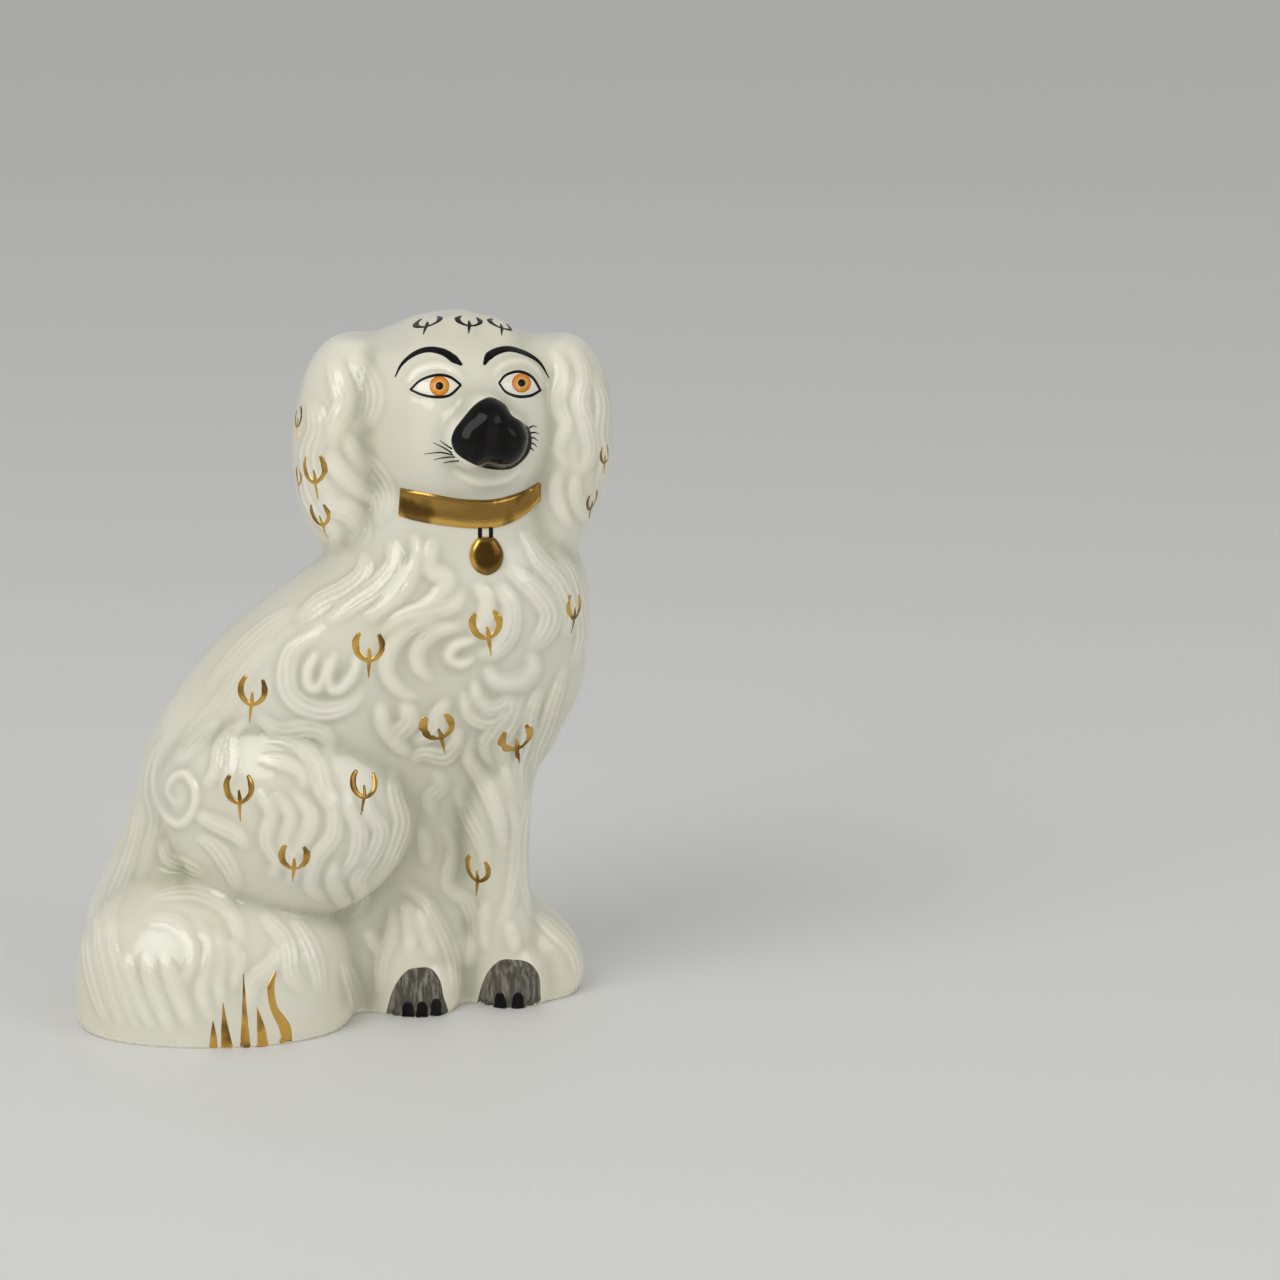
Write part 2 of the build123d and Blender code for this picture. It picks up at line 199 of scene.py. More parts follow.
class Shader:
    """A node tree written as Python expressions."""

    def __init__(self, name):
        self.material = bpy.data.materials.new(name)
        self.material.use_nodes = True
        self.tree = self.material.node_tree
        self.surface = self.tree.nodes["Principled BSDF"]

    def node(self, kind, settings=None, sockets=None, output=0):
        """A node by its type, its settings, and the values or links of its sockets."""
        made = self.tree.nodes.new(kind)
        for name, value in (settings or {}).items():
            setattr(made, name, value)
        for name, value in (sockets or {}).items():
            self.feed(made.inputs[name], value)
        return Socket(self, made.outputs[output])

    def feed(self, plug, value):
        """Set a socket to a value, or link it."""
        if isinstance(value, Socket):
            self.tree.links.new(value.link, plug)
        else:
            plug.default_value = value

    def set(self, **sockets):
        """Feed the surface's own sockets, with underscores for spaces."""
        for name, value in sockets.items():
            self.feed(self.surface.inputs[name.replace("_", " ")], value)
        return self.material

    def place(self):
        return self.node("ShaderNodeTexCoord", output="Object")

    def noise(self, scale, detail=2.0, roughness=0.5, vector=None):
        """Smooth noise from 0 to 1. The scale is in waves per metre."""
        return self.node("ShaderNodeTexNoise", {}, {"Vector": vector or self.place(), "Scale": scale,
                                                    "Detail": detail, "Roughness": roughness})

    def attribute(self, name):
        return self.node("ShaderNodeAttribute", {"attribute_name": name}, output="Fac")

    def steps(self, value, low, high):
        """0 below low, 1 above high, smooth between."""
        return self.node("ShaderNodeMapRange", {"interpolation_type": "SMOOTHSTEP"},
                         {"Value": value, "From Min": low, "From Max": high})

    def mix(self, share, first, second):
        """A mix of two colours, which are the node's sockets 6 and 7."""
        first, second = (value if isinstance(value, Socket) else (*value, 1.0)
                         for value in (first, second))
        return self.node("ShaderNodeMix", {"data_type": "RGBA"},
                         {"Factor": share, 6: first, 7: second}, 2)

    def bump(self, height, distance):
        return self.node("ShaderNodeBump", {}, {"Height": height, "Distance": distance})


def glaze_material(colours):
    """Cream-white glaze: green-grey in the hollows, partly pooled glaze and partly painted shade, thin
    and warm on the crests.
    """
    shader = Shader("white_glaze")
    hollow = shader.attribute("hollow")
    drift = shader.noise(22.0, 3.0)
    warm = shader.mix(shader.steps(drift, 0.35, 0.7), colours.glaze, colours.glaze_warm)
    # Painted shade: the hollows darken to green-grey, partly pooled glaze and partly shade painted into
    # the colour
    pooled_and_shaded = shader.mix(shader.steps(hollow + (drift - 0.5) * 0.25, 0.1, 0.95), warm, colours.glaze_pool_and_shade)
    speck = shader.steps(shader.noise(900.0, 1.0), 0.76, 0.80)
    spotted = shader.mix(speck * 0.25, pooled_and_shaded, colours.speck)
    ripple = shader.noise(160.0, 2.0)
    return shader.set(
        Base_Color=spotted, Roughness=0.10 + shader.noise(60.0) * 0.12, Coat_Weight=0.15,
        Coat_Roughness=0.04, IOR=1.52, Subsurface_Weight=0.08,
        Subsurface_Radius=(0.004, 0.004, 0.003), Normal=shader.bump(ripple, 0.0001))


def clay_material(colours):
    """Bare biscuit clay under the base."""
    shader = Shader("bare_clay")
    grain = shader.noise(1400.0, 4.0, 0.7)
    wiped = shader.noise(45.0, 3.0)
    colour = shader.mix(wiped, colours.clay, colours.clay_shade)
    return shader.set(Base_Color=colour, Roughness=0.75 + grain * 0.2,
                      Normal=shader.bump(grain, 0.0003))


def enamel_material(name, colour, thin, streak_scale=220.0):
    """Fired enamel: glossy, and streaked where the brush ran thin."""
    shader = Shader(name)
    stretched = shader.node("ShaderNodeMapping", {}, {
        "Vector": shader.place(), "Scale": (1.0, 1.0, 0.12)})
    streak = shader.noise(streak_scale, 3.0, 0.6, stretched)
    body = shader.mix(shader.steps(streak, 0.42, 0.70), colour, thin)
    return shader.set(Base_Color=body, Roughness=0.07 + shader.noise(300.0) * 0.10,
                      Specular_IOR_Level=0.15, Normal=shader.bump(streak, 0.0001))


def gilt_material(name, colours, reflection_darkness):
    """Burnished liquid gold over brown, with the brush's ridges; its worn bands are partly wear and
    partly painted dark reflection, and it may carry a painted dark reflection in the middle.
    """
    shader = Shader(name)
    brush = shader.noise(420.0, 3.0, 0.6)
    # Worn bands: partly wear, partly painted dark reflection
    worn_and_reflected = shader.steps(shader.noise(75.0, 2.0, 0.5), 0.46, 0.64)
    # Painted dark reflection: the middle of a piece darkens by its ring
    middle = 1.0 - shader.steps(shader.attribute("ring"), 0.62, 0.86)
    colour = shader.mix(worn_and_reflected * 0.8, colours.gold, colours.gold_thin_and_reflection)
    shaded = shader.mix(middle * reflection_darkness, colour, colours.gold_thin_and_reflection)
    return shader.set(Base_Color=shaded, Metallic=1.0, Roughness=0.12 + brush * 0.14,
                      Normal=shader.bump(brush, 0.0001))


def amber_material(colours):
    """Amber iris: a light ring about the pupil that is a painted highlight, amber, and a dark rim."""
    shader = Shader("amber_enamel")
    ring = shader.attribute("ring")
    # Painted highlight: a light ring about the pupil
    light = shader.mix(shader.steps(ring, 0.44, 0.56), colours.amber_highlight, colours.amber)
    rimmed = shader.mix(shader.steps(ring + (shader.noise(900.0) - 0.5) * 0.2, 0.62, 0.98),
                        light, colours.amber_ring)
    return shader.set(Base_Color=rimmed, Roughness=0.10, Specular_IOR_Level=0.35)


def curve(points, per_span=6, closed=False):
    """Points along a smooth line through a few chosen ones."""
    knots = np.asarray(points, dtype=float)
    if closed:
        padded = np.vstack((knots[-1:], knots, knots[:2]))
    else:
        padded = np.vstack((2 * knots[:1] - knots[1:2], knots, 2 * knots[-1:] - knots[-2:-1]))
    shares = np.linspace(0.0, 1.0, per_span, endpoint=False)[:, None]
    spans = []
    for a, b, c, d in zip(padded, padded[1:], padded[2:], padded[3:]):
        spans.append(0.5 * (2 * b + (c - a) * shares + (2 * a - 5 * b + 4 * c - d) * shares ** 2
                            + (3 * b - a - 3 * c + d) * shares ** 3))
    if not closed:
        spans.append(knots[-1:])
    return np.vstack(spans)


def opened(mesh):
    """A bmesh to edit a mesh in."""
    bm = bmesh.new()
    bm.from_mesh(mesh)
    return bm


def written(bm, mesh):
    """Write a bmesh into a mesh, and be done with it."""
    bm.to_mesh(mesh)
    bm.free()
    return mesh


def tree_of(bm):
    """A tree that finds places on a bmesh, which it uses up."""
    tree = BVHTree.FromBMesh(bm)
    bm.free()
    return tree


def placed(name, data):
    """A new object in the scene."""
    thing = bpy.data.objects.new(name, data)
    bpy.context.scene.collection.objects.link(thing)
    return thing


def link(name, bm, material, slot, nodes=()):
    """Make a mesh object of a bmesh, hide the frame's solids that it stands in for, and fix it to the
    root body.
    """
    mesh = written(bm, bpy.data.meshes.new(name))
    mesh.shade_smooth()
    mesh.materials.append(material)
    piece = placed(name, mesh)
    if nodes:
        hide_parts(*nodes)
    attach(piece, "root")
    return piece


def merged(names):
    """One bmesh from copies of the frame's solids, with their doubles merged."""
    bm = bmesh.new()
    for name in names:
        bm.from_mesh(bpy.data.objects[name].data)
    bmesh.ops.remove_doubles(bm, verts=bm.verts, dist=1e-6)
    return bm


def arrays(mesh):
    """A mesh's points and its edges as arrays."""
    points = np.empty(len(mesh.vertices) * 3)
    mesh.vertices.foreach_get("co", points)
    edges = np.empty(len(mesh.edges) * 2, dtype=int)
    mesh.edges.foreach_get("vertices", edges)
    return points.reshape(-1, 3), edges.reshape(-1, 2)


def normals_of(mesh):
    normals = np.empty(len(mesh.vertices) * 3)
    mesh.vertex_normals.foreach_get("vector", normals)
    return normals.reshape(-1, 3)


def relaxed(values, edges, passes, share=0.5):
    """Values at the points of a mesh, each drawn part of the way to its neighbours' mean."""
    ends = np.concatenate((edges[:, 0], edges[:, 1]))
    others = np.concatenate((edges[:, 1], edges[:, 0]))
    count = np.maximum(np.bincount(ends, minlength=len(values)), 1)
    table = values.reshape(len(values), -1)
    for _ in range(passes):
        means = np.stack([np.bincount(ends, column[others], len(values)) / count
                          for column in table.T], axis=1)
        table = table + (means - table) * np.reshape(share, (-1, 1))
    return table.reshape(values.shape)


def bell(pixels, x, y, radius):
    """1 at a pixel, falling smoothly to 0 a radius away."""
    away = np.hypot(pixels[:, 0] - x, pixels[:, 1] - y) / radius
    return np.clip(1.0 - away ** 2, 0.0, 1.0) ** 2


def facing(normals, least):
    """0 where the skin faces the camera no more than the least, growing to 1 where it does."""
    return np.clip((normals @ toward_camera() - least) / NEAR_FADE, 0.0, 1.0)


def model_joins(points, normals, edges):
    """Fill the joins that the photograph shows filled, and swell what it shows fuller."""
    pixels = to_pixels(points)
    near = facing(normals, JOIN_SIDE)
    soft = np.max([bell(pixels, *join) for join in SOFT_JOINS], axis=0) * near
    points = relaxed(points, edges, JOIN_PASSES, 0.5 * soft)
    for x, y, radius, height in SWELLS:
        points = points + normals * (bell(pixels, x, y, radius) * near * height * MM)[:, None]
    return points


def place_points(mesh, points):
    mesh.vertices.foreach_set("co", points.ravel())
    mesh.update()


def islands(parts, near):
    """The connected groups of some parts of a mesh, smallest first."""
    left = set(parts)
    groups = []
    while left:
        group = set()
        front = [left.pop()]
        while front:
            part = front.pop()
            group.add(part)
            for other in near(part):
                if other in left:
                    left.remove(other)
                    front.append(other)
        groups.append(group)
    return sorted(groups, key=len)


def most(numbers):
    """The number that comes most often."""
    return max(set(numbers), key=numbers.count)


def beside_face(face):
    return [other for edge in face.edges for other in edge.link_faces if other is not face]


def beside_edge(edge):
    return [other for vert in edge.verts for other in vert.link_edges if other is not edge]


def beside_vert(vert):
    return [edge.other_vert(vert) for edge in vert.link_edges]


def cast_shell(sizes):
    """The slip-cast outside as one soft skin, each face marked with the piece it belongs to."""
    bm = merged(CLAY_NODES + ("base_plate", "muzzle"))
    radius = sizes.vent_radius * PLUG_SHARE
    plug = bmesh.ops.create_cone(bm, cap_ends=True, segments=32, radius1=radius, radius2=radius,
                                 depth=sizes.plate_top)
    bmesh.ops.translate(bm, verts=plug["verts"], vec=(sizes.vent_x, sizes.vent_y, sizes.plate_top / 2))
    shell = placed("shell", written(bm, bpy.data.meshes.new("shell")))
    remesh = shell.modifiers.new("cast", "REMESH")
    remesh.mode = "VOXEL"
    remesh.voxel_size = sizes.voxel
    baked = baked_mesh(shell)
    bm = opened(baked)
    for inner in islands(bm.verts, beside_vert)[:-1]:
        bmesh.ops.delete(bm, geom=list(inner), context="VERTS")
    bmesh.ops.recalc_face_normals(bm, faces=bm.faces)
    written(bm, baked)
    shell.modifiers.clear()
    shell.data = baked
    points, edges = arrays(baked)
    points = relaxed(points, edges, sizes.softening)
    place_points(baked, points)
    place_points(baked, model_joins(points, normals_of(baked), edges))
    mark_pieces(baked)
    refine_near(baked)
    return shell


def refine_near(mesh):
    """Halve the grain of the side that carries the modelled coat, and round it."""
    bm = opened(mesh)
    toward = Vector(toward_camera())
    near = [edge for edge in bm.edges
            if any(face.normal.dot(toward) > NEAR_SIDE for face in edge.link_faces)]
    bmesh.ops.subdivide_edges(bm, edges=near, cuts=1, use_grid_fill=True)
    bmesh.ops.triangulate(bm, faces=[face for face in bm.faces if len(face.verts) > 4])
    points, edges = arrays(written(bm, mesh))
    place_points(mesh, relaxed(points, edges, FINE_PASSES))


def baked_mesh(thing):
    """The mesh that an object's modifiers make."""
    bpy.context.view_layer.update()
    view = thing.evaluated_get(bpy.context.evaluated_depsgraph_get())
    return bpy.data.meshes.new_from_object(view)


def mark_pieces(mesh):
    """Give each face the number of its nearest piece, and let neighbours vote it smooth."""
    trees = [tree_of(merged((name,))) for name in CLAY_NODES]
    bm = opened(mesh)
    for face in bm.faces:
        centre = face.calc_center_median()
        face.material_index = int(np.argmin([tree.find_nearest(centre)[3] for tree in trees]))
    for _ in range(VOTE_PASSES):
        voted = [most([other.material_index for edge in face.edges for other in edge.link_faces])
                 for face in bm.faces]
        for face, number in zip(bm.faces, voted):
            face.material_index = number
    for number in range(len(CLAY_NODES)):
        own = [face for face in bm.faces if face.material_index == number]
        for stray in islands(own, beside_face)[:-1]:
            near = [other.material_index for face in stray for other in beside_face(face)
                    if other not in stray]
            for face in stray:
                face.material_index = most(near)
    written(bm, mesh)


def place_of_lock(points, pixels):
    """How far along a lock each pixel falls, from 0 to 1, and how far to its side."""
    line = curve(points, 10)
    starts, steps = line[:-1], np.diff(line, axis=0)
    lengths = np.linalg.norm(steps, axis=1)
    ahead = steps / lengths[:, None]
    travelled = np.concatenate(((0.0,), np.cumsum(lengths)))
    offsets = pixels[:, None, :] - starts[None]
    along = np.clip((offsets * ahead).sum(axis=2), 0.0, lengths)
    feet = starts[None] + ahead[None] * along[:, :, None]
    gaps = pixels[:, None, :] - feet
    away = np.hypot(gaps[..., 0], gaps[..., 1])
    nearest = away.argmin(axis=1)
    rows = np.arange(len(pixels))
    cross = (ahead[nearest, 0] * gaps[rows, nearest, 1] - ahead[nearest, 1] * gaps[rows, nearest, 0])
    reach = (travelled[nearest] + along[rows, nearest]) / travelled[-1]
    return reach, np.sign(cross) * away[rows, nearest]


def lock_relief(locks, pixels):
    """The combed locks as heights from 0 to 1 at pixels of the photograph."""
    height = np.zeros(len(pixels))
    for width, strands, points in locks:
        low = np.min(points, axis=0) - width
        high = np.max(points, axis=0) + width
        inside = np.flatnonzero(((pixels > low) & (pixels < high)).all(axis=1))
        reach, side = place_of_lock(points, pixels[inside])
        belly = np.sin(np.pi * np.clip(reach, 0.0, 1.0)) ** 0.7
        half = width * LOCK_SPREAD * (LOCK_ENDS + (1 - LOCK_ENDS) * belly)
        across = np.clip(side / half, -1.0, 1.0)
        dome = (1 - across ** 2) ** 0.6 * (1 - LOCK_LEAN + LOCK_LEAN * across)
        combed = 0.5 + 0.5 * np.cos(np.pi * (strands * across + strands + 1))
        ends = np.clip(reach / LOCK_RISE, 0.0, 1.0) * np.clip((1 - reach) / LOCK_FALL, 0.0, 1.0)
        lock = dome * (0.5 + 0.5 * combed) * ends ** 0.7
        height[inside] = np.maximum(height[inside], lock)
    return height


def comb_coat(shell, sizes):
    """Raise the combed locks and the face's folds on the side that the photograph shows."""
    points, edges = arrays(shell.data)
    normals = normals_of(shell.data)
    near = facing(normals, NEAR_SIDE)
    pixels = to_pixels(points)
    height = np.max([share * lock_relief(locks, pixels) for share, locks in COAT], axis=0)
    height *= near * sizes.lock_height
    height += lock_relief(FACE_FOLDS, pixels) * near * sizes.fold_height
    height = relaxed(height, edges, FINE_PASSES)
    place_points(shell.data, points + normals * height[:, None])


def hollow_base(shell, sizes):
    """Flatten the foot rim, and sink the underside behind the bare base plate."""
    points, _ = arrays(shell.data)
    normals = normals_of(shell.data)
    under = np.flatnonzero((points[:, 2] < sizes.plate_top * UNDER_SHARE)
                           & (normals[:, 2] < UNDER_FACING))
    points[:, 2] = np.maximum(points[:, 2], 0.0)
    points[under, 2] = 0.0
    tree = tree_of(merged(("base_plate",)))
    for index in under:
        x, y = points[index, :2]
        if np.hypot(x - sizes.vent_x, y - sizes.vent_y) < sizes.vent_radius * PIT_SHARE:
            points[index, 2] = sizes.plate_top * PIT_DEPTH_SHARE
        elif tree.ray_cast(Vector((x, y, -sizes.plate_top)), Vector((0, 0, 1)))[0] is not None:
            points[index, 2] = sizes.plate_top * BEHIND_SHARE
    place_points(shell.data, points)


def mark_hollows(shell, sizes):
    """Keep how sunken each point is, for the pooled glaze and the painted shade that darken it there."""
    points, edges = arrays(shell.data)
    normals = normals_of(shell.data)
    softened = relaxed(points, edges, EASE_PASSES, EASE_SHARE)
    sunk = relaxed(((softened - points) * normals).sum(axis=1), edges, HOLLOW_PASSES)
    share = np.clip(0.5 + sunk / (2 * sizes.pool_and_shade_depth), 0.0, 1.0)
    shell.data.attributes.new("hollow", "FLOAT", "POINT").data.foreach_set("value", share)


def part_shell(shell, material):
    """Part the skin into the figure's pieces, each closed behind its joins."""
    bm = opened(shell.data)
    kept = normals_of(shell.data)
    number = bm.verts.layers.int.new("number")
    for vert in bm.verts:
        vert[number] = vert.index
    for order, name in enumerate(CLAY_NODES):
        own = bm.copy()
        others = [face for face in own.faces if face.material_index != order]
        bmesh.ops.delete(own, geom=others, context="FACES")
        for face in own.faces:
            face.material_index = 0
        close_behind(own)
        numbers = [vert[own.verts.layers.int["number"]] for vert in own.verts]
        piece = link(f"glazed_{name}", own, material, "white_glaze", (name,))
        piece.data.normals_split_custom_set_from_vertices(kept[numbers])
    bm.free()
    bpy.data.objects.remove(shell)


def close_behind(bm):
    """Close each open edge of a piece: a skirt down into the figure, then in to one point."""
    number = bm.verts.layers.int["number"]
    inward = {vert[number]: vert.normal * SKIRT_DEPTH for vert in bm.verts if vert.is_boundary}
    for loop in islands([edge for edge in bm.edges if edge.is_boundary], beside_edge):
        skirt = bmesh.ops.extrude_edge_only(bm, edges=list(loop))["geom"]
        low = [part for part in skirt if isinstance(part, bmesh.types.BMVert)]
        for vert in low:
            vert.co -= inward[vert[number]]
        middle = sum((vert.co for vert in low), Vector()) / len(low)
        lean = sum((inward[vert[number]] for vert in low), Vector()) / len(low)
        rim = [part for part in skirt if isinstance(part, bmesh.types.BMEdge) and part.is_boundary
               and all(vert in low for vert in part.verts)]
        grown = bmesh.ops.extrude_edge_only(bm, edges=rim)["geom"]
        new = [part for part in grown if isinstance(part, bmesh.types.BMVert)]
        bmesh.ops.pointmerge(bm, verts=new, merge_co=middle - lean)
    bmesh.ops.recalc_face_normals(bm, faces=bm.faces)


class Painter:
    """Lays thin shapes, drawn on the photograph, onto the glazed skin."""

    def __init__(self, shell):
        self.tree = tree_of(opened(shell.data))

    def land(self, x, y):
        """Where a pixel's sight line meets the skin, if it does."""
        return self.tree.ray_cast(*pixel_ray(x, y))[0]

    def lay(self, bm, depth, sink, tear):
        """Drop a drawing onto the skin along the sight lines. Its points hold pixels and a height."""
        rise = bm.verts.layers.float.new("rise")
        landed = {vert: self.land(vert.co.x, vert.co.y) for vert in bm.verts}
        depths = [(place - Vector(CAMERA_TARGET)).y for place in landed.values() if place]
        for vert, place in landed.items():
            vert[rise] = vert.co.z
            vert.co = place or self.beside(vert.co.x, vert.co.y, np.mean(depths))
        torn = [face for face in bm.faces
                if max(edge.calc_length() for edge in face.edges) > tear]
        bmesh.ops.delete(bm, geom=torn, context="FACES")
        self.settle(bm, depth, sink)

    def stamp(self, bm, x, y, depth, sink):
        """Press a small drawing, in pixels about its middle, onto the skin where a pixel falls."""
        place = self.land(x, y)
        around = self.tree.find_nearest_range(place, SPRIG_REACH)
        normal = sum((found[1] for found in around), Vector()).normalized()
        up = normal.cross(Vector((1.0, 0.0, 0.0))).normalized()
        right = up.cross(normal)
        rise = bm.verts.layers.float.new("rise")
        for vert in bm.verts:
            vert[rise] = vert.co.z
            vert.co = place + (right * vert.co.x - up * vert.co.y) / PIXELS_PER_METRE
        self.settle(bm, depth, sink)

    def settle(self, bm, depth, sink):
        """Fit a shape closely to the skin, raise it, and close it below."""
        rise = bm.verts.layers.float["rise"]
        for _ in range(PAINT_PASSES):
            long = [edge for edge in bm.edges if edge.calc_length() > PAINT_STEP]
            bmesh.ops.subdivide_edges(bm, edges=long, cuts=1, use_grid_fill=True)
        bmesh.ops.triangulate(bm, faces=[face for face in bm.faces if len(face.verts) > 4])
        for vert in bm.verts:
            vert.co = self.tree.find_nearest(vert.co)[0]
        under = bm.verts.layers.int.new("under")
        grown = bmesh.ops.extrude_face_region(bm, geom=bm.faces[:], use_keep_orig=True)["geom"]
        for part in grown:
            if isinstance(part, bmesh.types.BMVert):
                part[under] = 1
        for vert in bm.verts:
            place, normal = self.tree.find_nearest(vert.co)[:2]
            vert.co = place + normal * (-depth if vert[under] else vert[rise] - sink)
            vert.co.z = max(vert.co.z, 0.0)
        bmesh.ops.recalc_face_normals(bm, faces=bm.faces)

    def beside(self, x, y, away):
        """The skin nearest to a sight line that passes it by."""
        eye, sight = pixel_ray(x, y)
        reach = (CAMERA_TARGET[1] + away - eye.y) / sight.y
        return self.tree.find_nearest(eye + sight * reach)[0]


def grid(columns, rows, place):
    """A grid whose points go where place(u, v) says, with touching points merged."""
    bm = bmesh.new()
    bmesh.ops.create_grid(bm, x_segments=columns, y_segments=rows, size=0.5)
    tint = bm.verts.layers.float.new("ring")
    for vert in bm.verts:
        u, v = vert.co.x + 0.5, vert.co.y + 0.5
        vert.co = place(u, v)
        vert[tint] = v
    bmesh.ops.remove_doubles(bm, verts=bm.verts, dist=1e-3)
    return bm


def along(line, share):
    """A point part of the way along a line of points."""
    spot = share * (len(line) - 1)
    first = min(int(spot), len(line) - 2)
    return line[first] + (line[first + 1] - line[first]) * (spot - first)


def stroke(points, widths, height, rows=6):
    """A brush stroke along chosen points, domed across, with its width at each."""
    line = curve(points)
    broad = np.interp(np.linspace(0, 1, len(line)), np.linspace(0, 1, len(widths)), widths)
    ahead = np.gradient(line, axis=0)
    ahead /= np.linalg.norm(ahead, axis=1)[:, None]
    aside = np.stack((-ahead[:, 1], ahead[:, 0]), axis=1)

    def place(u, v):
        across = 2 * v - 1
        spot = along(line, u) + along(aside, u) * across * along(broad, u) / 2
        return (*spot, height * max(1 - across ** 2, 0.0) ** 0.5)

    return grid(len(line) - 1, rows, place)


def band(top, bottom, height):
    """A flat strap between two lines, rounded at its edges and ends."""
    upper, lower = curve(top, 10), curve(bottom, 10)

    def place(u, v):
        spot = along(upper, u) * (1 - v) + along(lower, u) * v
        edge = max(1 - (2 * v - 1) ** 8, 0.0) * max(1 - (2 * u - 1) ** 40, 0.0)
        return (*spot, height * edge ** 0.5)

    return grid(len(upper) - 1, BAND_ROWS, place)


def patch(outline, height, rings=7, flat=2.0, per_span=6):
    """A closed outline filled from its middle, domed toward it."""
    line = curve(outline, per_span, closed=True)
    line = np.vstack((line, line[:1]))
    middle = line[:-1].mean(axis=0)

    def place(u, v):
        spot = middle + (along(line, u) - middle) * v
        return (*spot, height * max(1 - v ** flat, 0.0) ** 0.5)

    return grid(len(line) - 1, rings, place)


def join(parts):
    """One bmesh from several."""
    whole = bmesh.new()
    whole.verts.layers.float.new("ring")
    for part in parts:
        mesh = written(part, bpy.data.meshes.new("part"))
        whole.from_mesh(mesh)
        bpy.data.meshes.remove(mesh)
    return whole


def circle(x, y, radius):
    turns = np.linspace(0.0, 2 * np.pi, CIRCLE_POINTS, endpoint=False)
    return [(x + radius * np.cos(turn), y + radius * np.sin(turn)) for turn in turns]


# Locks of the coat: width in pixels, strands combed in it, and points in the photograph's pixels
EAR_LOCKS = (
    (20, 4, ((352, 350), (364, 372), (372, 394), (368, 416), (353, 434))),
    (18, 4, ((347, 430), (355, 452), (374, 472), (387, 494), (384, 520))),
    (22, 4, ((332, 358), (341, 384), (346, 404), (335, 428), (332, 452))),
    (20, 4, ((328, 446), (338, 468), (358, 484), (378, 500), (377, 526))),
    (20, 4, ((311, 398), (318, 428), (311, 455), (317, 480), (337, 500))),
    (20, 4, ((317, 490), (332, 506), (351, 513), (362, 530), (351, 550))),
    (15, 3, ((304, 458), (307, 488), (318, 513), (333, 531), (336, 552))),
    (13, 3, ((551, 348), (563, 372), (557, 402), (565, 426), (558, 448), (566, 470))),
    (16, 4, ((572, 343), (584, 374), (580, 404), (588, 430), (591, 452), (581, 470), (573, 458))),
    (13, 3, ((594, 372), (603, 404), (601, 434), (605, 460), (598, 492))),
    (13, 3, ((559, 468), (555, 490), (562, 512), (572, 527))),
    (13, 3, ((577, 472), (575, 492), (581, 512), (590, 524))),
)
CHEST_LOCKS = (
    (20, 4, ((506, 566), (534, 588), (551, 612), (545, 634), (530, 652))),
    (18, 4, ((524, 530), (538, 558), (560, 582), (571, 612), (566, 640))),
    (15, 4, ((552, 545), (570, 570), (580, 600), (583, 636), (574, 668))),
    (15, 4, ((475, 582), (487, 600), (484, 622), (472, 640))),
    (17, 4, ((495, 584), (511, 606), (510, 632), (495, 652), (476, 656))),
    (17, 4, ((434, 538), (430, 566), (446, 580), (438, 600), (414, 612))),
    (17, 4, ((414, 534), (419, 556), (408, 580), (391, 602), (366, 622))),
    (19, 4, ((392, 540), (394, 564), (378, 586), (352, 604), (326, 624))),
    (17, 4, ((366, 552), (362, 574), (344, 590), (320, 602), (296, 622))),
    (17, 3, ((462, 588), (455, 604), (432, 612), (402, 620), (380, 636))),
    (18, 3, ((318, 632), (292, 652), (287, 682), (298, 702), (324, 711), (350, 704), (364, 686))),
    (12, 1, ((318, 652), (309, 668), (309, 684), (317, 688), (325, 674), (327, 656))),
    (13, 1, ((336, 652), (329, 672), (331, 687), (341, 688), (354, 672), (358, 650))),
    (15, 3, ((462, 626), (434, 633), (419, 650), (420, 668), (434, 682))),
    (15, 3, ((450, 615), (412, 628), (391, 650), (388, 674), (402, 692), (420, 698))),
    (12, 1, ((478, 640), (456, 646), (450, 658), (462, 664), (476, 657))),
    (13, 3, ((474, 680), (479, 700), (492, 709), (505, 702), (507, 689))),
    (14, 3, ((464, 690), (470, 714), (486, 722), (502, 716), (514, 702))),
    (20, 1, ((486, 666), (497, 681), (518, 682), (532, 669), (531, 650))),
    (15, 3, ((508, 688), (511, 708), (495, 730), (486, 748), (497, 770))),
    (15, 3, ((522, 694), (514, 720), (500, 744), (507, 768), (516, 792))),
    (15, 3, ((541, 688), (530, 716), (528, 742), (520, 768), (524, 796))),
    (13, 3, ((566, 666), (556, 696), (546, 726), (536, 752), (531, 784))),
    (17, 3, ((404, 700), (410, 722), (398, 736), (404, 752))),
    (15, 3, ((450, 700), (438, 716), (436, 728), (424, 738), (412, 742))),
    (15, 3, ((458, 728), (456, 744), (444, 757), (424, 754), (410, 762))),
    (15, 3, ((474, 738), (468, 756), (478, 774), (488, 792), (498, 816), (504, 850))),
    (15, 3, ((380, 702), (384, 724), (396, 742), (412, 756))),
)
BACK_LOCKS = (
    (20, 4, ((274, 636), (246, 668), (222, 706), (190, 744), (168, 776))),
    (17, 4, ((300, 606), (264, 630), (232, 662), (206, 692))),
    (15, 3, ((172, 730), (156, 760), (152, 792), (158, 822), (148, 852), (138, 884))),
    (14, 3, ((140, 800), (136, 836), (126, 868), (112, 902), (104, 934))),
)
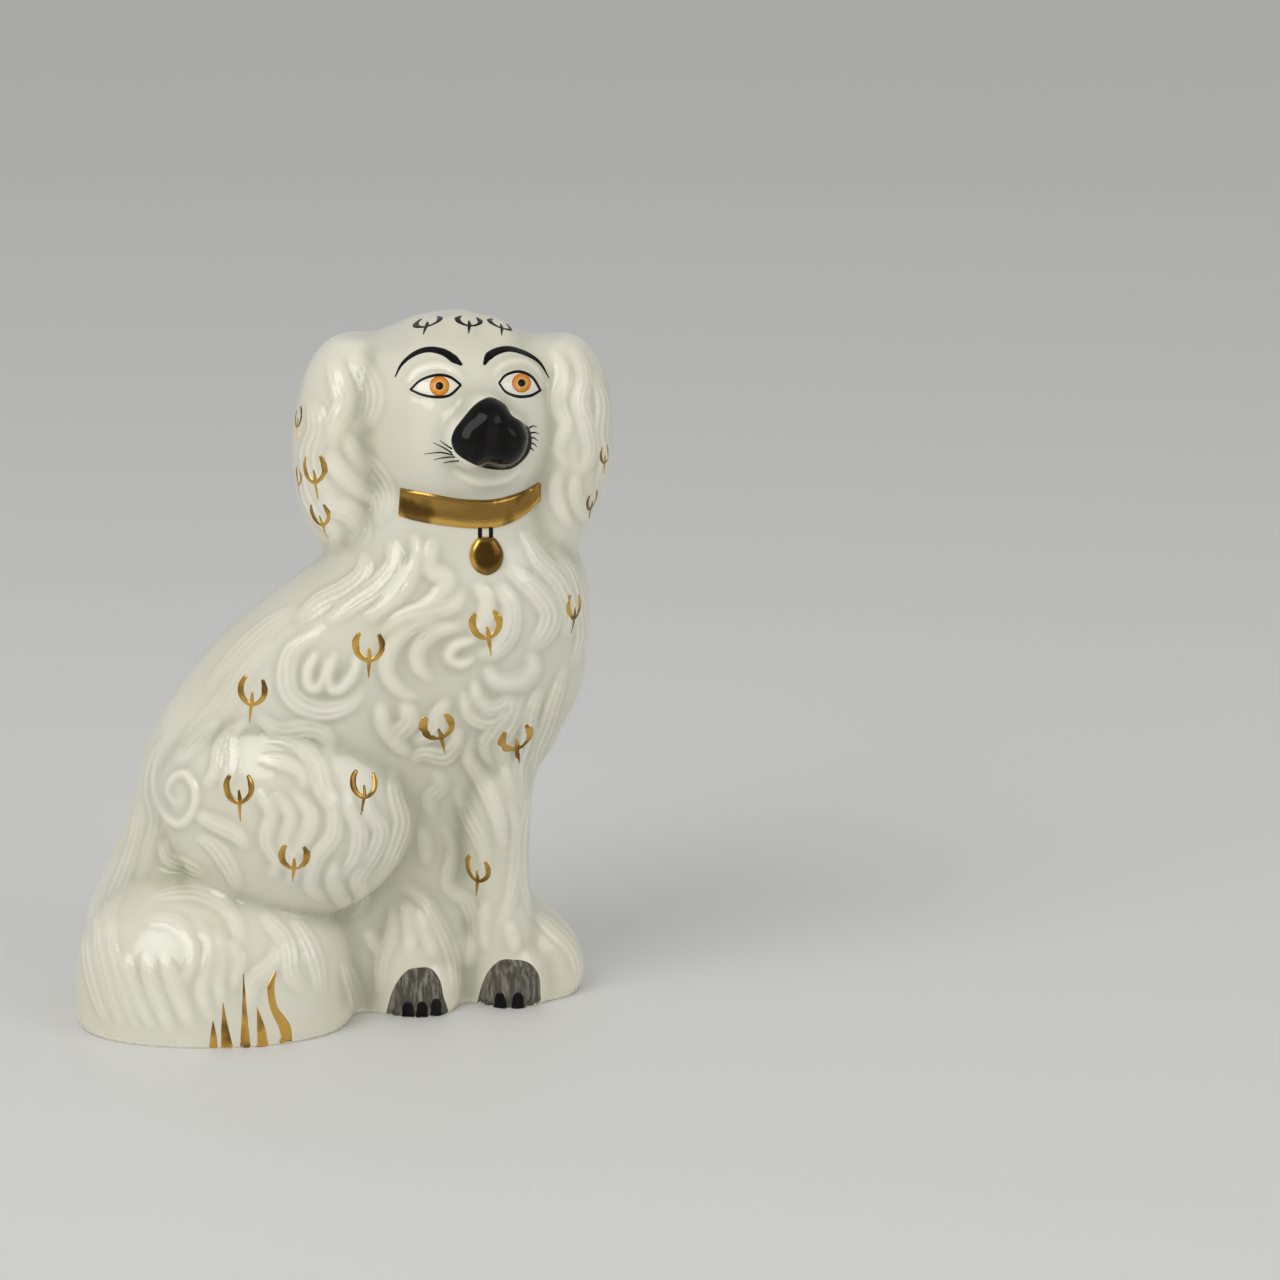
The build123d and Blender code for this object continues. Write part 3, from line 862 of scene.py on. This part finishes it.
HAUNCH_LOCKS = (
    (9, 1, ((164, 744), (155, 770), (156, 796), (166, 816), (180, 824), (192, 812), (195, 792),
            (186, 775), (173, 778), (168, 792), (176, 803), (184, 797))),
    (15, 4, ((222, 716), (204, 734), (188, 750), (174, 768))),
    (14, 4, ((235, 724), (222, 746), (217, 770), (204, 788))),
    (13, 3, ((248, 720), (232, 738), (231, 766), (222, 792))),
    (16, 3, ((256, 716), (280, 731), (312, 729), (329, 741), (327, 758))),
    (16, 3, ((258, 738), (290, 740), (312, 757), (321, 786), (335, 812), (334, 832))),
    (14, 3, ((256, 758), (282, 762), (302, 772), (306, 790))),
    (15, 3, ((256, 790), (272, 812), (268, 840), (278, 862), (270, 880))),
    (15, 3, ((274, 792), (291, 816), (286, 844), (296, 866), (290, 886))),
    (15, 3, ((292, 790), (310, 815), (303, 842), (290, 862), (296, 880))),
    (15, 3, ((318, 780), (333, 804), (334, 835), (317, 858), (311, 886), (328, 902))),
    (15, 3, ((344, 790), (351, 812), (360, 830), (356, 858), (340, 880))),
    (15, 3, ((366, 790), (370, 812), (381, 832), (373, 856), (358, 876))),
    (15, 3, ((392, 768), (396, 796), (402, 824), (392, 854), (380, 878))),
    (14, 3, ((372, 862), (358, 880), (362, 900), (350, 918))),
    (14, 3, ((336, 862), (334, 884), (344, 904), (338, 918))),
    (15, 3, ((194, 812), (216, 824), (236, 834), (248, 850))),
    (15, 3, ((196, 836), (214, 846), (230, 868), (240, 892))),
    (13, 3, ((162, 838), (168, 858), (186, 866), (206, 876))),
)
TAIL_LOCKS = (
    (15, 3, ((142, 918), (172, 921), (190, 938), (193, 962), (182, 986))),
    (15, 3, ((150, 896), (192, 892), (222, 904), (238, 926), (240, 948))),
    (14, 3, ((190, 916), (211, 942), (209, 966), (203, 994), (212, 1024))),
    (13, 3, ((214, 926), (224, 954), (219, 984), (222, 1010))),
    (13, 3, ((230, 938), (238, 962), (234, 990))),
    (16, 3, ((278, 940), (274, 962), (252, 984), (250, 1014))),
    (14, 3, ((86, 934), (92, 972), (104, 1012), (110, 1026))),
    (14, 3, ((98, 916), (102, 954), (117, 1008), (124, 1028))),
    (14, 3, ((113, 910), (110, 946), (124, 992), (138, 1030))),
    (14, 3, ((122, 950), (133, 988), (154, 1030))),
    (15, 3, ((144, 950), (152, 984), (163, 1012), (172, 1034))),
    (15, 3, ((162, 950), (174, 986), (192, 1030))),
    (17, 3, ((262, 912), (286, 942), (291, 972), (304, 994))),
    (16, 3, ((292, 916), (309, 942), (318, 968), (322, 996))),
)
LEG_LOCKS = (
    (14, 3, ((400, 884), (423, 899), (441, 928), (453, 958), (457, 996))),
    (13, 3, ((404, 900), (410, 930), (410, 956))),
    (13, 3, ((414, 908), (427, 936), (436, 958))),
    (13, 3, ((394, 902), (391, 934), (381, 960), (379, 994))),
    (13, 3, ((364, 930), (375, 944), (383, 958))),
    (14, 3, ((344, 960), (354, 990), (362, 1018))),
    (14, 3, ((434, 770), (441, 786), (430, 800), (432, 820))),
    (13, 3, ((422, 826), (425, 848), (428, 866))),
    (13, 3, ((444, 826), (453, 850), (448, 884), (466, 902), (474, 930), (468, 974))),
    (13, 3, ((456, 786), (466, 814), (482, 846), (487, 874))),
    (13, 3, ((509, 800), (518, 834), (514, 886), (500, 930))),
    (13, 3, ((530, 800), (524, 840), (526, 886), (534, 916))),
    (12, 3, ((486, 900), (482, 930), (486, 952))),
    (13, 3, ((528, 908), (553, 928), (574, 952), (580, 980))),
    (12, 3, ((508, 920), (514, 940), (516, 954))),
)
# How deeply each part of the coat is modelled
COAT = ((0.8, EAR_LOCKS), (1.0, CHEST_LOCKS), (0.45, BACK_LOCKS), (0.85, HAUNCH_LOCKS),
        (0.6, TAIL_LOCKS), (0.6, LEG_LOCKS))

# Joins filled with slip: place and radius in pixels
SOFT_JOINS = ((209, 888, 34), (150, 856, 40), (118, 896, 36), (152, 800, 30), (534, 770, 34),
              (466, 900, 26), (466, 950, 20), (340, 580, 40), (392, 330, 30), (535, 332, 30))
# Fuller or leaner places: place and radius in pixels, and height in millimetres
SWELLS = ((505, 318, 34, 1.8), (432, 312, 30, -0.6), (470, 478, 26, 0.8))

# Soft folds of the face: eyelids, eyeballs, the lip below the muzzle and the collar's bed
FACE_FOLDS = (
    (7, 1, ((404, 384), (418, 369), (438, 364), (455, 371), (466, 384))),
    (7, 1, ((492, 378), (502, 366), (520, 361), (535, 368), (546, 386))),
    (22, 1, ((410, 388), (437, 384), (462, 386))),
    (20, 1, ((496, 384), (519, 381), (543, 389))),
    (9, 1, ((452, 470), (476, 482), (504, 480), (524, 466))),
)

# Paint, outlined in the photograph's pixels
IRIS_PLACES = ((439.5, 386.0, 10.6), (521.5, 383.0, 10.2))
PUPIL_SHARE = 0.42
EYE_LINES = (
    ((410, 390), (421, 380), (437, 375), (450, 377), (461, 385)),
    ((411, 390), (423, 395), (437, 397), (450, 395), (461, 385)),
    ((499, 383), (506, 375), (519, 371.5), (532, 377), (541, 391)),
    ((499, 383), (506, 392), (518, 396.5), (531, 395.5), (541, 390)),
)
EYE_LINE_WIDTHS = (2.4, 2.8, 3.4, 3.2, 2.8)
BROWS = (
    ((395, 377), (402, 364), (414, 354), (428, 349.5), (443, 352), (454, 359), (462, 365)),
    ((484, 365), (489, 356), (499, 350.5), (511, 349), (527, 354), (540, 363), (549, 378)),
)
BROW_WIDTHS = ((1.4, 3.6, 5.4, 6.6, 8.2, 9.4, 3.0), (3.0, 9.4, 8.0, 6.4, 5.2, 3.4, 1.2))
MUZZLE_OUTLINE = ((492, 397), (483, 399), (473, 406), (462, 419), (454, 430), (451, 441), (455, 452),
                  (465, 460), (480, 467), (496, 470), (511, 469), (523, 461), (530, 451), (532, 440),
                  (529, 428), (521, 421), (512, 415), (505, 404))
WHISKERS = (
    ((452, 449), (446, 445), (440, 440.5)),
    ((452, 453), (444, 448), (433, 442.5)),
    ((453, 455), (440, 452.5), (424, 454)),
    ((455, 457), (445, 457.5), (434, 459.5)),
    ((459, 461), (451, 461.5), (443, 463)),
    ((529, 428), (533, 426), (537, 427)),
    ((530, 433), (535, 432.5), (539, 434)),
    ((531, 438), (534, 438), (538, 441)),
    ((531, 443), (534, 444), (537, 447)),
    ((530, 447), (532, 449), (534, 451)),
)
WHISKER_WIDTHS = (2.2, 1.6, 0.5)
COLLAR_TOP = ((400, 487.5), (418, 491), (441, 495.5), (464, 499), (493, 499), (520, 492), (541, 481))
COLLAR_BOTTOM = ((398, 516), (415, 521), (441, 525.5), (470, 528.5), (497, 527.5), (522, 517.5),
                 (541, 500.5))
PADLOCK_OUTLINE = ((477, 538), (486, 536.5), (495, 538), (502, 548), (503.5, 558), (499, 569),
                   (487, 575.5), (475, 570), (469.5, 558), (471, 547))
PADLOCK_LOOPS = (((480, 526), (480, 540)), ((491, 526), (491, 540)))
PADLOCK_LOOP_WIDTHS = (4.4, 4.4)
PATCH_OUTLINES = (
    ((387, 1019), (389, 1000), (396, 983), (407, 970), (419, 967), (431, 968), (440, 979), (444, 996),
     (448, 1014), (430, 1017), (408, 1019)),
    ((478, 1008), (480, 989), (488, 971), (500, 960), (513, 959), (529, 962), (539, 974), (541, 991),
     (539, 1009), (517, 1009), (497, 1009)),
)
CLAW_PLACES = ((408, 1018, 11.5), (422, 1018, 11), (436, 1015, 10.5), (500, 1009, 11), (518, 1009, 11.5))
CLAW_HEIGHT = 17.0
CLAW_ARCH = ((-1.0, -0.05), (-1.05, 0.3), (-0.95, 0.7), (-0.5, 0.96), (0.0, 1.0), (0.5, 0.96),
             (0.95, 0.7), (1.05, 0.3), (1.0, -0.05))
FLAMES = (
    ((213.5, 1050), (213.5, 1036), (213, 1021)),
    ((227.5, 1050), (225, 1030), (223, 1003)),
    ((245.5, 1050), (244.5, 1012), (243.5, 974)),
    ((263, 1049), (261, 1028), (257, 1007)),
    ((287, 1048), (285, 1028), (274, 1008), (271, 988), (276, 971)),
)
FLAME_WIDTHS = ((10, 7, 0.6), (14, 8.5, 0.6), (12, 5.5, 0.6), (12.5, 9, 0.6), (11, 13, 8, 8, 1.0))

# A sprig's strokes about its own middle, and where sprigs stand: place, turn in degrees, size
SPRIG_CUP = ((-9, -18), (-13, -9), (-11, 2), (-3, 9), (5, 8), (12, 1), (13, -8), (10, -17))
SPRIG_CUP_WIDTHS = (4.5, 8.0, 7.6, 5.0, 4.4, 6.0, 7.6, 4.0)
SPRIG_STEM = ((0, -3), (0.5, 6), (-0.5, 17), (-1, 28))
SPRIG_STEM_WIDTHS = (2.6, 5.2, 3.6, 0.8)
SPRIG_PLACES = (
    (369, 651, 0, 1.0), (252, 695, 6, 1.0), (487, 629, -10, 1.0), (575, 610, 4, 0.85),
    (439, 731, -12, 1.05), (516, 741, -3, 1.15), (239, 793, -3, 1.0), (364, 788, 2, 0.95),
    (294, 861, 4, 0.95), (477, 873, 0, 1.0), (298, 420, -4, 0.7), (314, 473, -8, 0.95),
    (298, 479, -8, 0.6), (320, 518, -18, 0.82), (605, 457, 4, 0.62), (592, 503, 14, 0.68),
)
CROWN_SPRIGS = ((427, 323, 4, 0.95), (469, 322, -4, 0.85), (501, 325, -8, 0.85))


def length(name, default, text, least=0.0):
    return bpy.props.FloatProperty(name=name, description=text, default=default, min=least,
                                   subtype="DISTANCE", unit="LENGTH", precision=5)


def colour(name, default, text):
    return bpy.props.FloatVectorProperty(name=name, description=text, default=default, size=3,
                                         min=0.0, max=1.0, subtype="COLOR")


class SpanielSizes(bpy.types.PropertyGroup):
    """Sizes of the sculpted skin and of what is painted on it."""

    voxel: length("Cast grain", 0.0015, "The cell that the fused skin is first made of")
    softening: bpy.props.IntProperty(name="Softening", default=10, min=0,
                                     description="How many passes round off the mould's joins")
    lock_height: length("Lock height", 0.0013, "How far a combed lock stands up")
    fold_height: length("Fold height", 0.0007, "How far the folds of the face stand up")
    # How sunken a place is where pooled glaze and painted shade darken the glaze
    pool_and_shade_depth: length("Pool depth", 0.0005, "How sunken a place is where glaze pools")
    plate_top: length("Base plate top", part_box("base_plate")[1].z, "Upper face of the base plate")
    vent_radius: length("Vent radius", 0.006, "Radius of the firing vent in the base plate")
    vent_x: length("Vent along", 0.00091, "The vent's place along the figure", -1.0)
    vent_y: length("Vent across", 0.00343, "The vent's place across the figure", -1.0)
    enamel: length("Enamel height", 0.00018, "How far enamel stands on the glaze")
    gilt: length("Gilt height", 0.00022, "How far a gilt stroke stands on the glaze")
    collar: length("Collar height", 0.0011, "How far the moulded collar stands up")
    padlock: length("Padlock height", 0.0020, "How far the moulded padlock stands up")
    claw: length("Claw height", 0.0006, "How far a claw stands up")
    skin: length("Painted depth", 0.0006, "How deep a painted shape goes below the glaze")
    sink: length("Sunk rim", 0.00004, "How far a painted shape's rim lies below the glaze")


class SpanielColours(bpy.types.PropertyGroup):
    """Colours of the glaze, the clay and the paint."""

    glaze: colour("Glaze", (0.90, 0.87, 0.75), "Cream-white glaze")
    glaze_warm: colour("Warm glaze", (0.90, 0.85, 0.69), "Where the glaze runs warm")
    # The green-grey of the hollows is partly pooled glaze and partly painted shade
    glaze_pool_and_shade: colour("Pooled glaze", (0.47, 0.47, 0.35), "Green-grey glaze in the hollows")
    speck: colour("Speck", (0.55, 0.50, 0.42), "Faint specks in the glaze")
    clay: colour("Clay", (0.72, 0.66, 0.56), "Bare biscuit clay")
    clay_shade: colour("Clay shade", (0.60, 0.54, 0.44), "Wiped clay")
    black: colour("Black", (0.003, 0.003, 0.003), "Black enamel")
    black_thin: colour("Thin black", (0.010, 0.009, 0.008), "Black enamel where it is thin")
    grey: colour("Grey", (0.085, 0.076, 0.060), "Grey wash of the paws")
    grey_thin: colour("Thin grey", (0.26, 0.245, 0.20), "Grey wash where the brush ran thin")
    amber: colour("Amber", (0.74, 0.27, 0.02), "Amber of the irises")
    amber_ring: colour("Amber ring", (0.52, 0.14, 0.01), "Dark rim of the irises")
    # The light ring about the pupils is a painted highlight
    amber_highlight: colour("Amber light", (0.80, 0.44, 0.10), "Light ring about the pupils")
    # The gold is deepened in part as painted dark reflection, and the thin gold also serves as painted
    # dark reflection
    gold: colour("Gold", (0.70, 0.42, 0.10), "Burnished gold")
    gold_thin_and_reflection: colour("Thin gold", (0.10, 0.05, 0.012), "Gold where it is thin")
    floor: colour("Floor", (0.74, 0.74, 0.72), "Pale studio floor")


class SpanielLight(bpy.types.PropertyGroup):
    """The studio's lamps."""

    key: bpy.props.FloatProperty(name="Key", default=24.0, min=0.0, subtype="POWER", unit="POWER",
                                 description="Soft box at the upper left")
    fill: bpy.props.FloatProperty(name="Fill", default=7.0, min=0.0, subtype="POWER", unit="POWER",
                                  description="Soft box at the right")
    world: bpy.props.FloatProperty(name="Room", default=0.5, min=0.0,
                                   description="Strength of the room's even light")


def sprig(turn, size, height):
    """A sprig about its own middle: a cup of two tines and a stem, turned and sized."""
    angle = math.radians(turn)
    spin = np.array(((math.cos(angle), -math.sin(angle)), (math.sin(angle), math.cos(angle))))
    drawn = []
    for points, widths in ((SPRIG_CUP, SPRIG_CUP_WIDTHS), (SPRIG_STEM, SPRIG_STEM_WIDTHS)):
        moved = np.asarray(points, dtype=float) @ spin.T * size
        drawn.append(stroke(moved, np.asarray(widths) * size, height, 4))
    return join(drawn)


class SpanielPiece:
    """What every piece's operator needs: the sizes, the colours and the painter."""

    bl_options = {"REGISTER", "UNDO"}
    painter = None
    materials = {}

    @property
    def sizes(self):
        return bpy.context.scene.spaniel_sizes

    def paint(self, name, parts, finish, slot, nodes=(), tear=PAINT_TEAR):
        """Join drawn parts, lay them on the skin and link them as one piece."""
        whole = join(parts)
        SpanielPiece.painter.lay(whole, self.sizes.skin, self.sizes.sink, tear)
        return link(name, whole, SpanielPiece.materials[finish], slot, nodes)

    def stamp(self, name, places, finish, slot):
        """Press a sprig at each place, and link them as one piece."""
        sprigs = []
        for x, y, turn, size in places:
            sprigs.append(sprig(turn, size, self.sizes.gilt))
            SpanielPiece.painter.stamp(sprigs[-1], x, y, self.sizes.skin, self.sizes.sink)
        return link(name, join(sprigs), SpanielPiece.materials[finish], slot)


class OBJECT_OT_spaniel_finishes(SpanielPiece, bpy.types.Operator):
    """Mix the glaze, the bare clay, the enamels and the gilt"""

    bl_idname = "object.spaniel_finishes"
    bl_label = "Finishes"

    def execute(self, context):
        colours = context.scene.spaniel_colours
        SpanielPiece.materials.update(
            glaze=glaze_material(colours),
            clay=clay_material(colours),
            black=enamel_material("black_enamel", colours.black, colours.black_thin),
            grey=enamel_material("grey_enamel", colours.grey, colours.grey_thin, 700.0),
            amber=amber_material(colours),
            gilt=gilt_material("gilt", colours, 0.0),
            # The collar's and the padlock's gilt carry painted dark reflection in their middles
            band_gilt=gilt_material("band_gilt", colours, 0.55),
            dark_gilt=gilt_material("dark_gilt", colours, 0.92),
        )
        return {"FINISHED"}


class OBJECT_OT_spaniel_casting(SpanielPiece, bpy.types.Operator):
    """Model the glazed casting with its combed coat, and its bare base plate"""

    bl_idname = "object.spaniel_casting"
    bl_label = "Glazed casting"

    def execute(self, context):
        shell = cast_shell(self.sizes)
        comb_coat(shell, self.sizes)
        hollow_base(shell, self.sizes)
        mark_hollows(shell, self.sizes)
        SpanielPiece.painter = Painter(shell)
        part_shell(shell, SpanielPiece.materials["glaze"])
        base = bpy.data.objects["base_plate"]
        base.data.materials.clear()
        base.data.materials.append(SpanielPiece.materials["clay"])
        return {"FINISHED"}


class OBJECT_OT_spaniel_face(SpanielPiece, bpy.types.Operator):
    """Paint the eyes, the brows, the muzzle and the whiskers"""

    bl_idname = "object.spaniel_face"
    bl_label = "Face"

    def execute(self, context):
        enamel = self.sizes.enamel
        irises = [patch(circle(x, y, radius), enamel, 8) for x, y, radius in IRIS_PLACES]
        self.paint("irises_painted", irises, "amber", "amber_enamel", ("irises",))
        pupils = [patch(circle(x, y, radius * PUPIL_SHARE), enamel * PUPIL_COATS)
                  for x, y, radius in IRIS_PLACES]
        self.paint("pupils_painted", pupils, "black", "black_enamel", ("pupils",))
        lines = [stroke(points, EYE_LINE_WIDTHS, enamel * EYE_LINE_COATS) for points in EYE_LINES]
        self.paint("eye_lines_painted", lines, "black", "black_enamel", ("eye_lines",))
        brows = [stroke(points, widths, enamel) for points, widths in zip(BROWS, BROW_WIDTHS)]
        self.paint("brows_painted", brows, "black", "black_enamel", ("brows",))
        muzzle = patch(MUZZLE_OUTLINE, enamel * MUZZLE_COATS, 44, 16.0, 12)
        self.paint("muzzle_painted", [muzzle], "black", "black_enamel", ("muzzle",), MUZZLE_TEAR)
        whiskers = [stroke(points, WHISKER_WIDTHS, enamel, 4) for points in WHISKERS]
        self.paint("whiskers_painted", whiskers, "black", "black_enamel")
        return {"FINISHED"}


class OBJECT_OT_spaniel_paws(SpanielPiece, bpy.types.Operator):
    """Paint the grey paw patches and the black claws"""

    bl_idname = "object.spaniel_paws"
    bl_label = "Paws"

    def execute(self, context):
        patches = [patch(outline, self.sizes.enamel, 16, 12.0) for outline in PATCH_OUTLINES]
        self.paint("paw_patches_painted", patches, "grey", "grey_enamel", ("paw_patches",))
        claws = []
        for x, y, width in CLAW_PLACES:
            arch = [(x + width / 2 * across, y - CLAW_HEIGHT * up) for across, up in CLAW_ARCH]
            claws.append(patch(arch, self.sizes.claw, 9, 6.0))
        self.paint("claws_painted", claws, "black", "black_enamel", ("claws",))
        return {"FINISHED"}


class OBJECT_OT_spaniel_gilding(SpanielPiece, bpy.types.Operator):
    """Gild the collar, the padlock, the tail's flames and the sprigs"""

    bl_idname = "object.spaniel_gilding"
    bl_label = "Gilding"

    def execute(self, context):
        gilt = self.sizes.gilt
        collar = band(COLLAR_TOP, COLLAR_BOTTOM, self.sizes.collar)
        # The collar and the padlock are darkened in the middle with painted dark reflection
        self.paint("collar_gilt", [collar], "band_gilt", "gilt", ("collar",))
        lock = patch(PADLOCK_OUTLINE, self.sizes.padlock, 10, 3.0)
        self.paint("padlock_gilt", [lock], "dark_gilt", "gilt", ("padlock",))
        loops = [stroke(points, PADLOCK_LOOP_WIDTHS, gilt * LOOP_COATS) for points in PADLOCK_LOOPS]
        self.paint("padlock_loops_painted", loops, "black", "black_enamel", ("padlock_loops",))
        flames = [stroke(points, widths, gilt) for points, widths in zip(FLAMES, FLAME_WIDTHS)]
        self.paint("tail_strokes_gilt", flames, "gilt", "gilt", ("tail_strokes",))
        self.stamp("sprigs_gilt", SPRIG_PLACES, "gilt", "gilt")
        self.stamp("crown_sprigs_painted", CROWN_SPRIGS, "black", "black_enamel")
        return {"FINISHED"}


class OBJECT_OT_spaniel_stage(SpanielPiece, bpy.types.Operator):
    """Set the pale floor, the soft lamps and the photograph's camera"""

    bl_idname = "object.spaniel_stage"
    bl_label = "Stage"

    def execute(self, context):
        scene = context.scene
        light = scene.spaniel_light
        bm = bmesh.new()
        bmesh.ops.create_grid(bm, x_segments=1, y_segments=1, size=FLOOR_HALF)
        floor = placed("floor", written(bm, bpy.data.meshes.new("floor")))
        floor.data.materials.append(Shader("floor").set(
            Base_Color=(*scene.spaniel_colours.floor, 1.0), Roughness=0.55))
        for name, place, size in SOFT_BOXES:
            self.soft_box(f"{name}_lamp", place, size, getattr(light, name))
        world = bpy.data.worlds.new("room")
        world.use_nodes = True
        room = world.node_tree.nodes["Background"]
        room.inputs["Color"].default_value = (1.0, 1.0, 1.0, 1.0)
        room.inputs["Strength"].default_value = light.world
        scene.world = world
        lens = bpy.data.cameras.new("photo_camera")
        lens.sensor_width = SENSOR_WIDTH
        lens.lens = FOCAL_PIXELS * SENSOR_WIDTH / PHOTO_PIXELS
        camera = placed("photo_camera", lens)
        _, _, back, eye = camera_axes()
        camera.location = eye
        camera.rotation_euler = Vector(back).to_track_quat("Z", "Y").to_euler()
        scene.camera = camera
        scene.view_settings.view_transform = "Standard"
        return {"FINISHED"}

    def soft_box(self, name, place, size, power):
        """A square lamp that faces the figure."""
        lamp = bpy.data.lights.new(name, "AREA")
        lamp.energy = power
        lamp.size = size
        box = placed(name, lamp)
        box.location = place
        box.rotation_euler = (Vector(place) - Vector(CAMERA_TARGET)).to_track_quat("Z", "Y").to_euler()


OPERATORS = (OBJECT_OT_spaniel_finishes, OBJECT_OT_spaniel_casting, OBJECT_OT_spaniel_face,
             OBJECT_OT_spaniel_paws, OBJECT_OT_spaniel_gilding, OBJECT_OT_spaniel_stage)


class VIEW3D_PT_spaniel(bpy.types.Panel):
    """The figure's pieces and their sizes"""

    bl_label = "Spaniel"
    bl_idname = "VIEW3D_PT_spaniel"
    bl_space_type = "VIEW_3D"
    bl_region_type = "UI"
    bl_category = "Spaniel"

    def draw(self, context):
        for operator in OPERATORS:
            self.layout.operator(operator.bl_idname)
        scene = context.scene
        for group in (scene.spaniel_sizes, scene.spaniel_colours, scene.spaniel_light):
            box = self.layout.box()
            for name in group.bl_rna.properties.keys():
                if name not in ("rna_type", "name"):
                    box.prop(group, name)


GROUPS = {"spaniel_sizes": SpanielSizes, "spaniel_colours": SpanielColours,
          "spaniel_light": SpanielLight}
CLASSES = (*GROUPS.values(), *OPERATORS, VIEW3D_PT_spaniel)


def register():
    for made in CLASSES:
        bpy.utils.register_class(made)
    for name, group in GROUPS.items():
        setattr(bpy.types.Scene, name, bpy.props.PointerProperty(type=group))


def unregister():
    for name in GROUPS:
        delattr(bpy.types.Scene, name)
    for made in reversed(CLASSES):
        bpy.utils.unregister_class(made)


def main():
    register()
    bpy.ops.object.spaniel_finishes()
    bpy.ops.object.spaniel_casting()
    bpy.ops.object.spaniel_face()
    bpy.ops.object.spaniel_paws()
    bpy.ops.object.spaniel_gilding()
    bpy.ops.object.spaniel_stage()


if __name__ == "__main__":
    main()
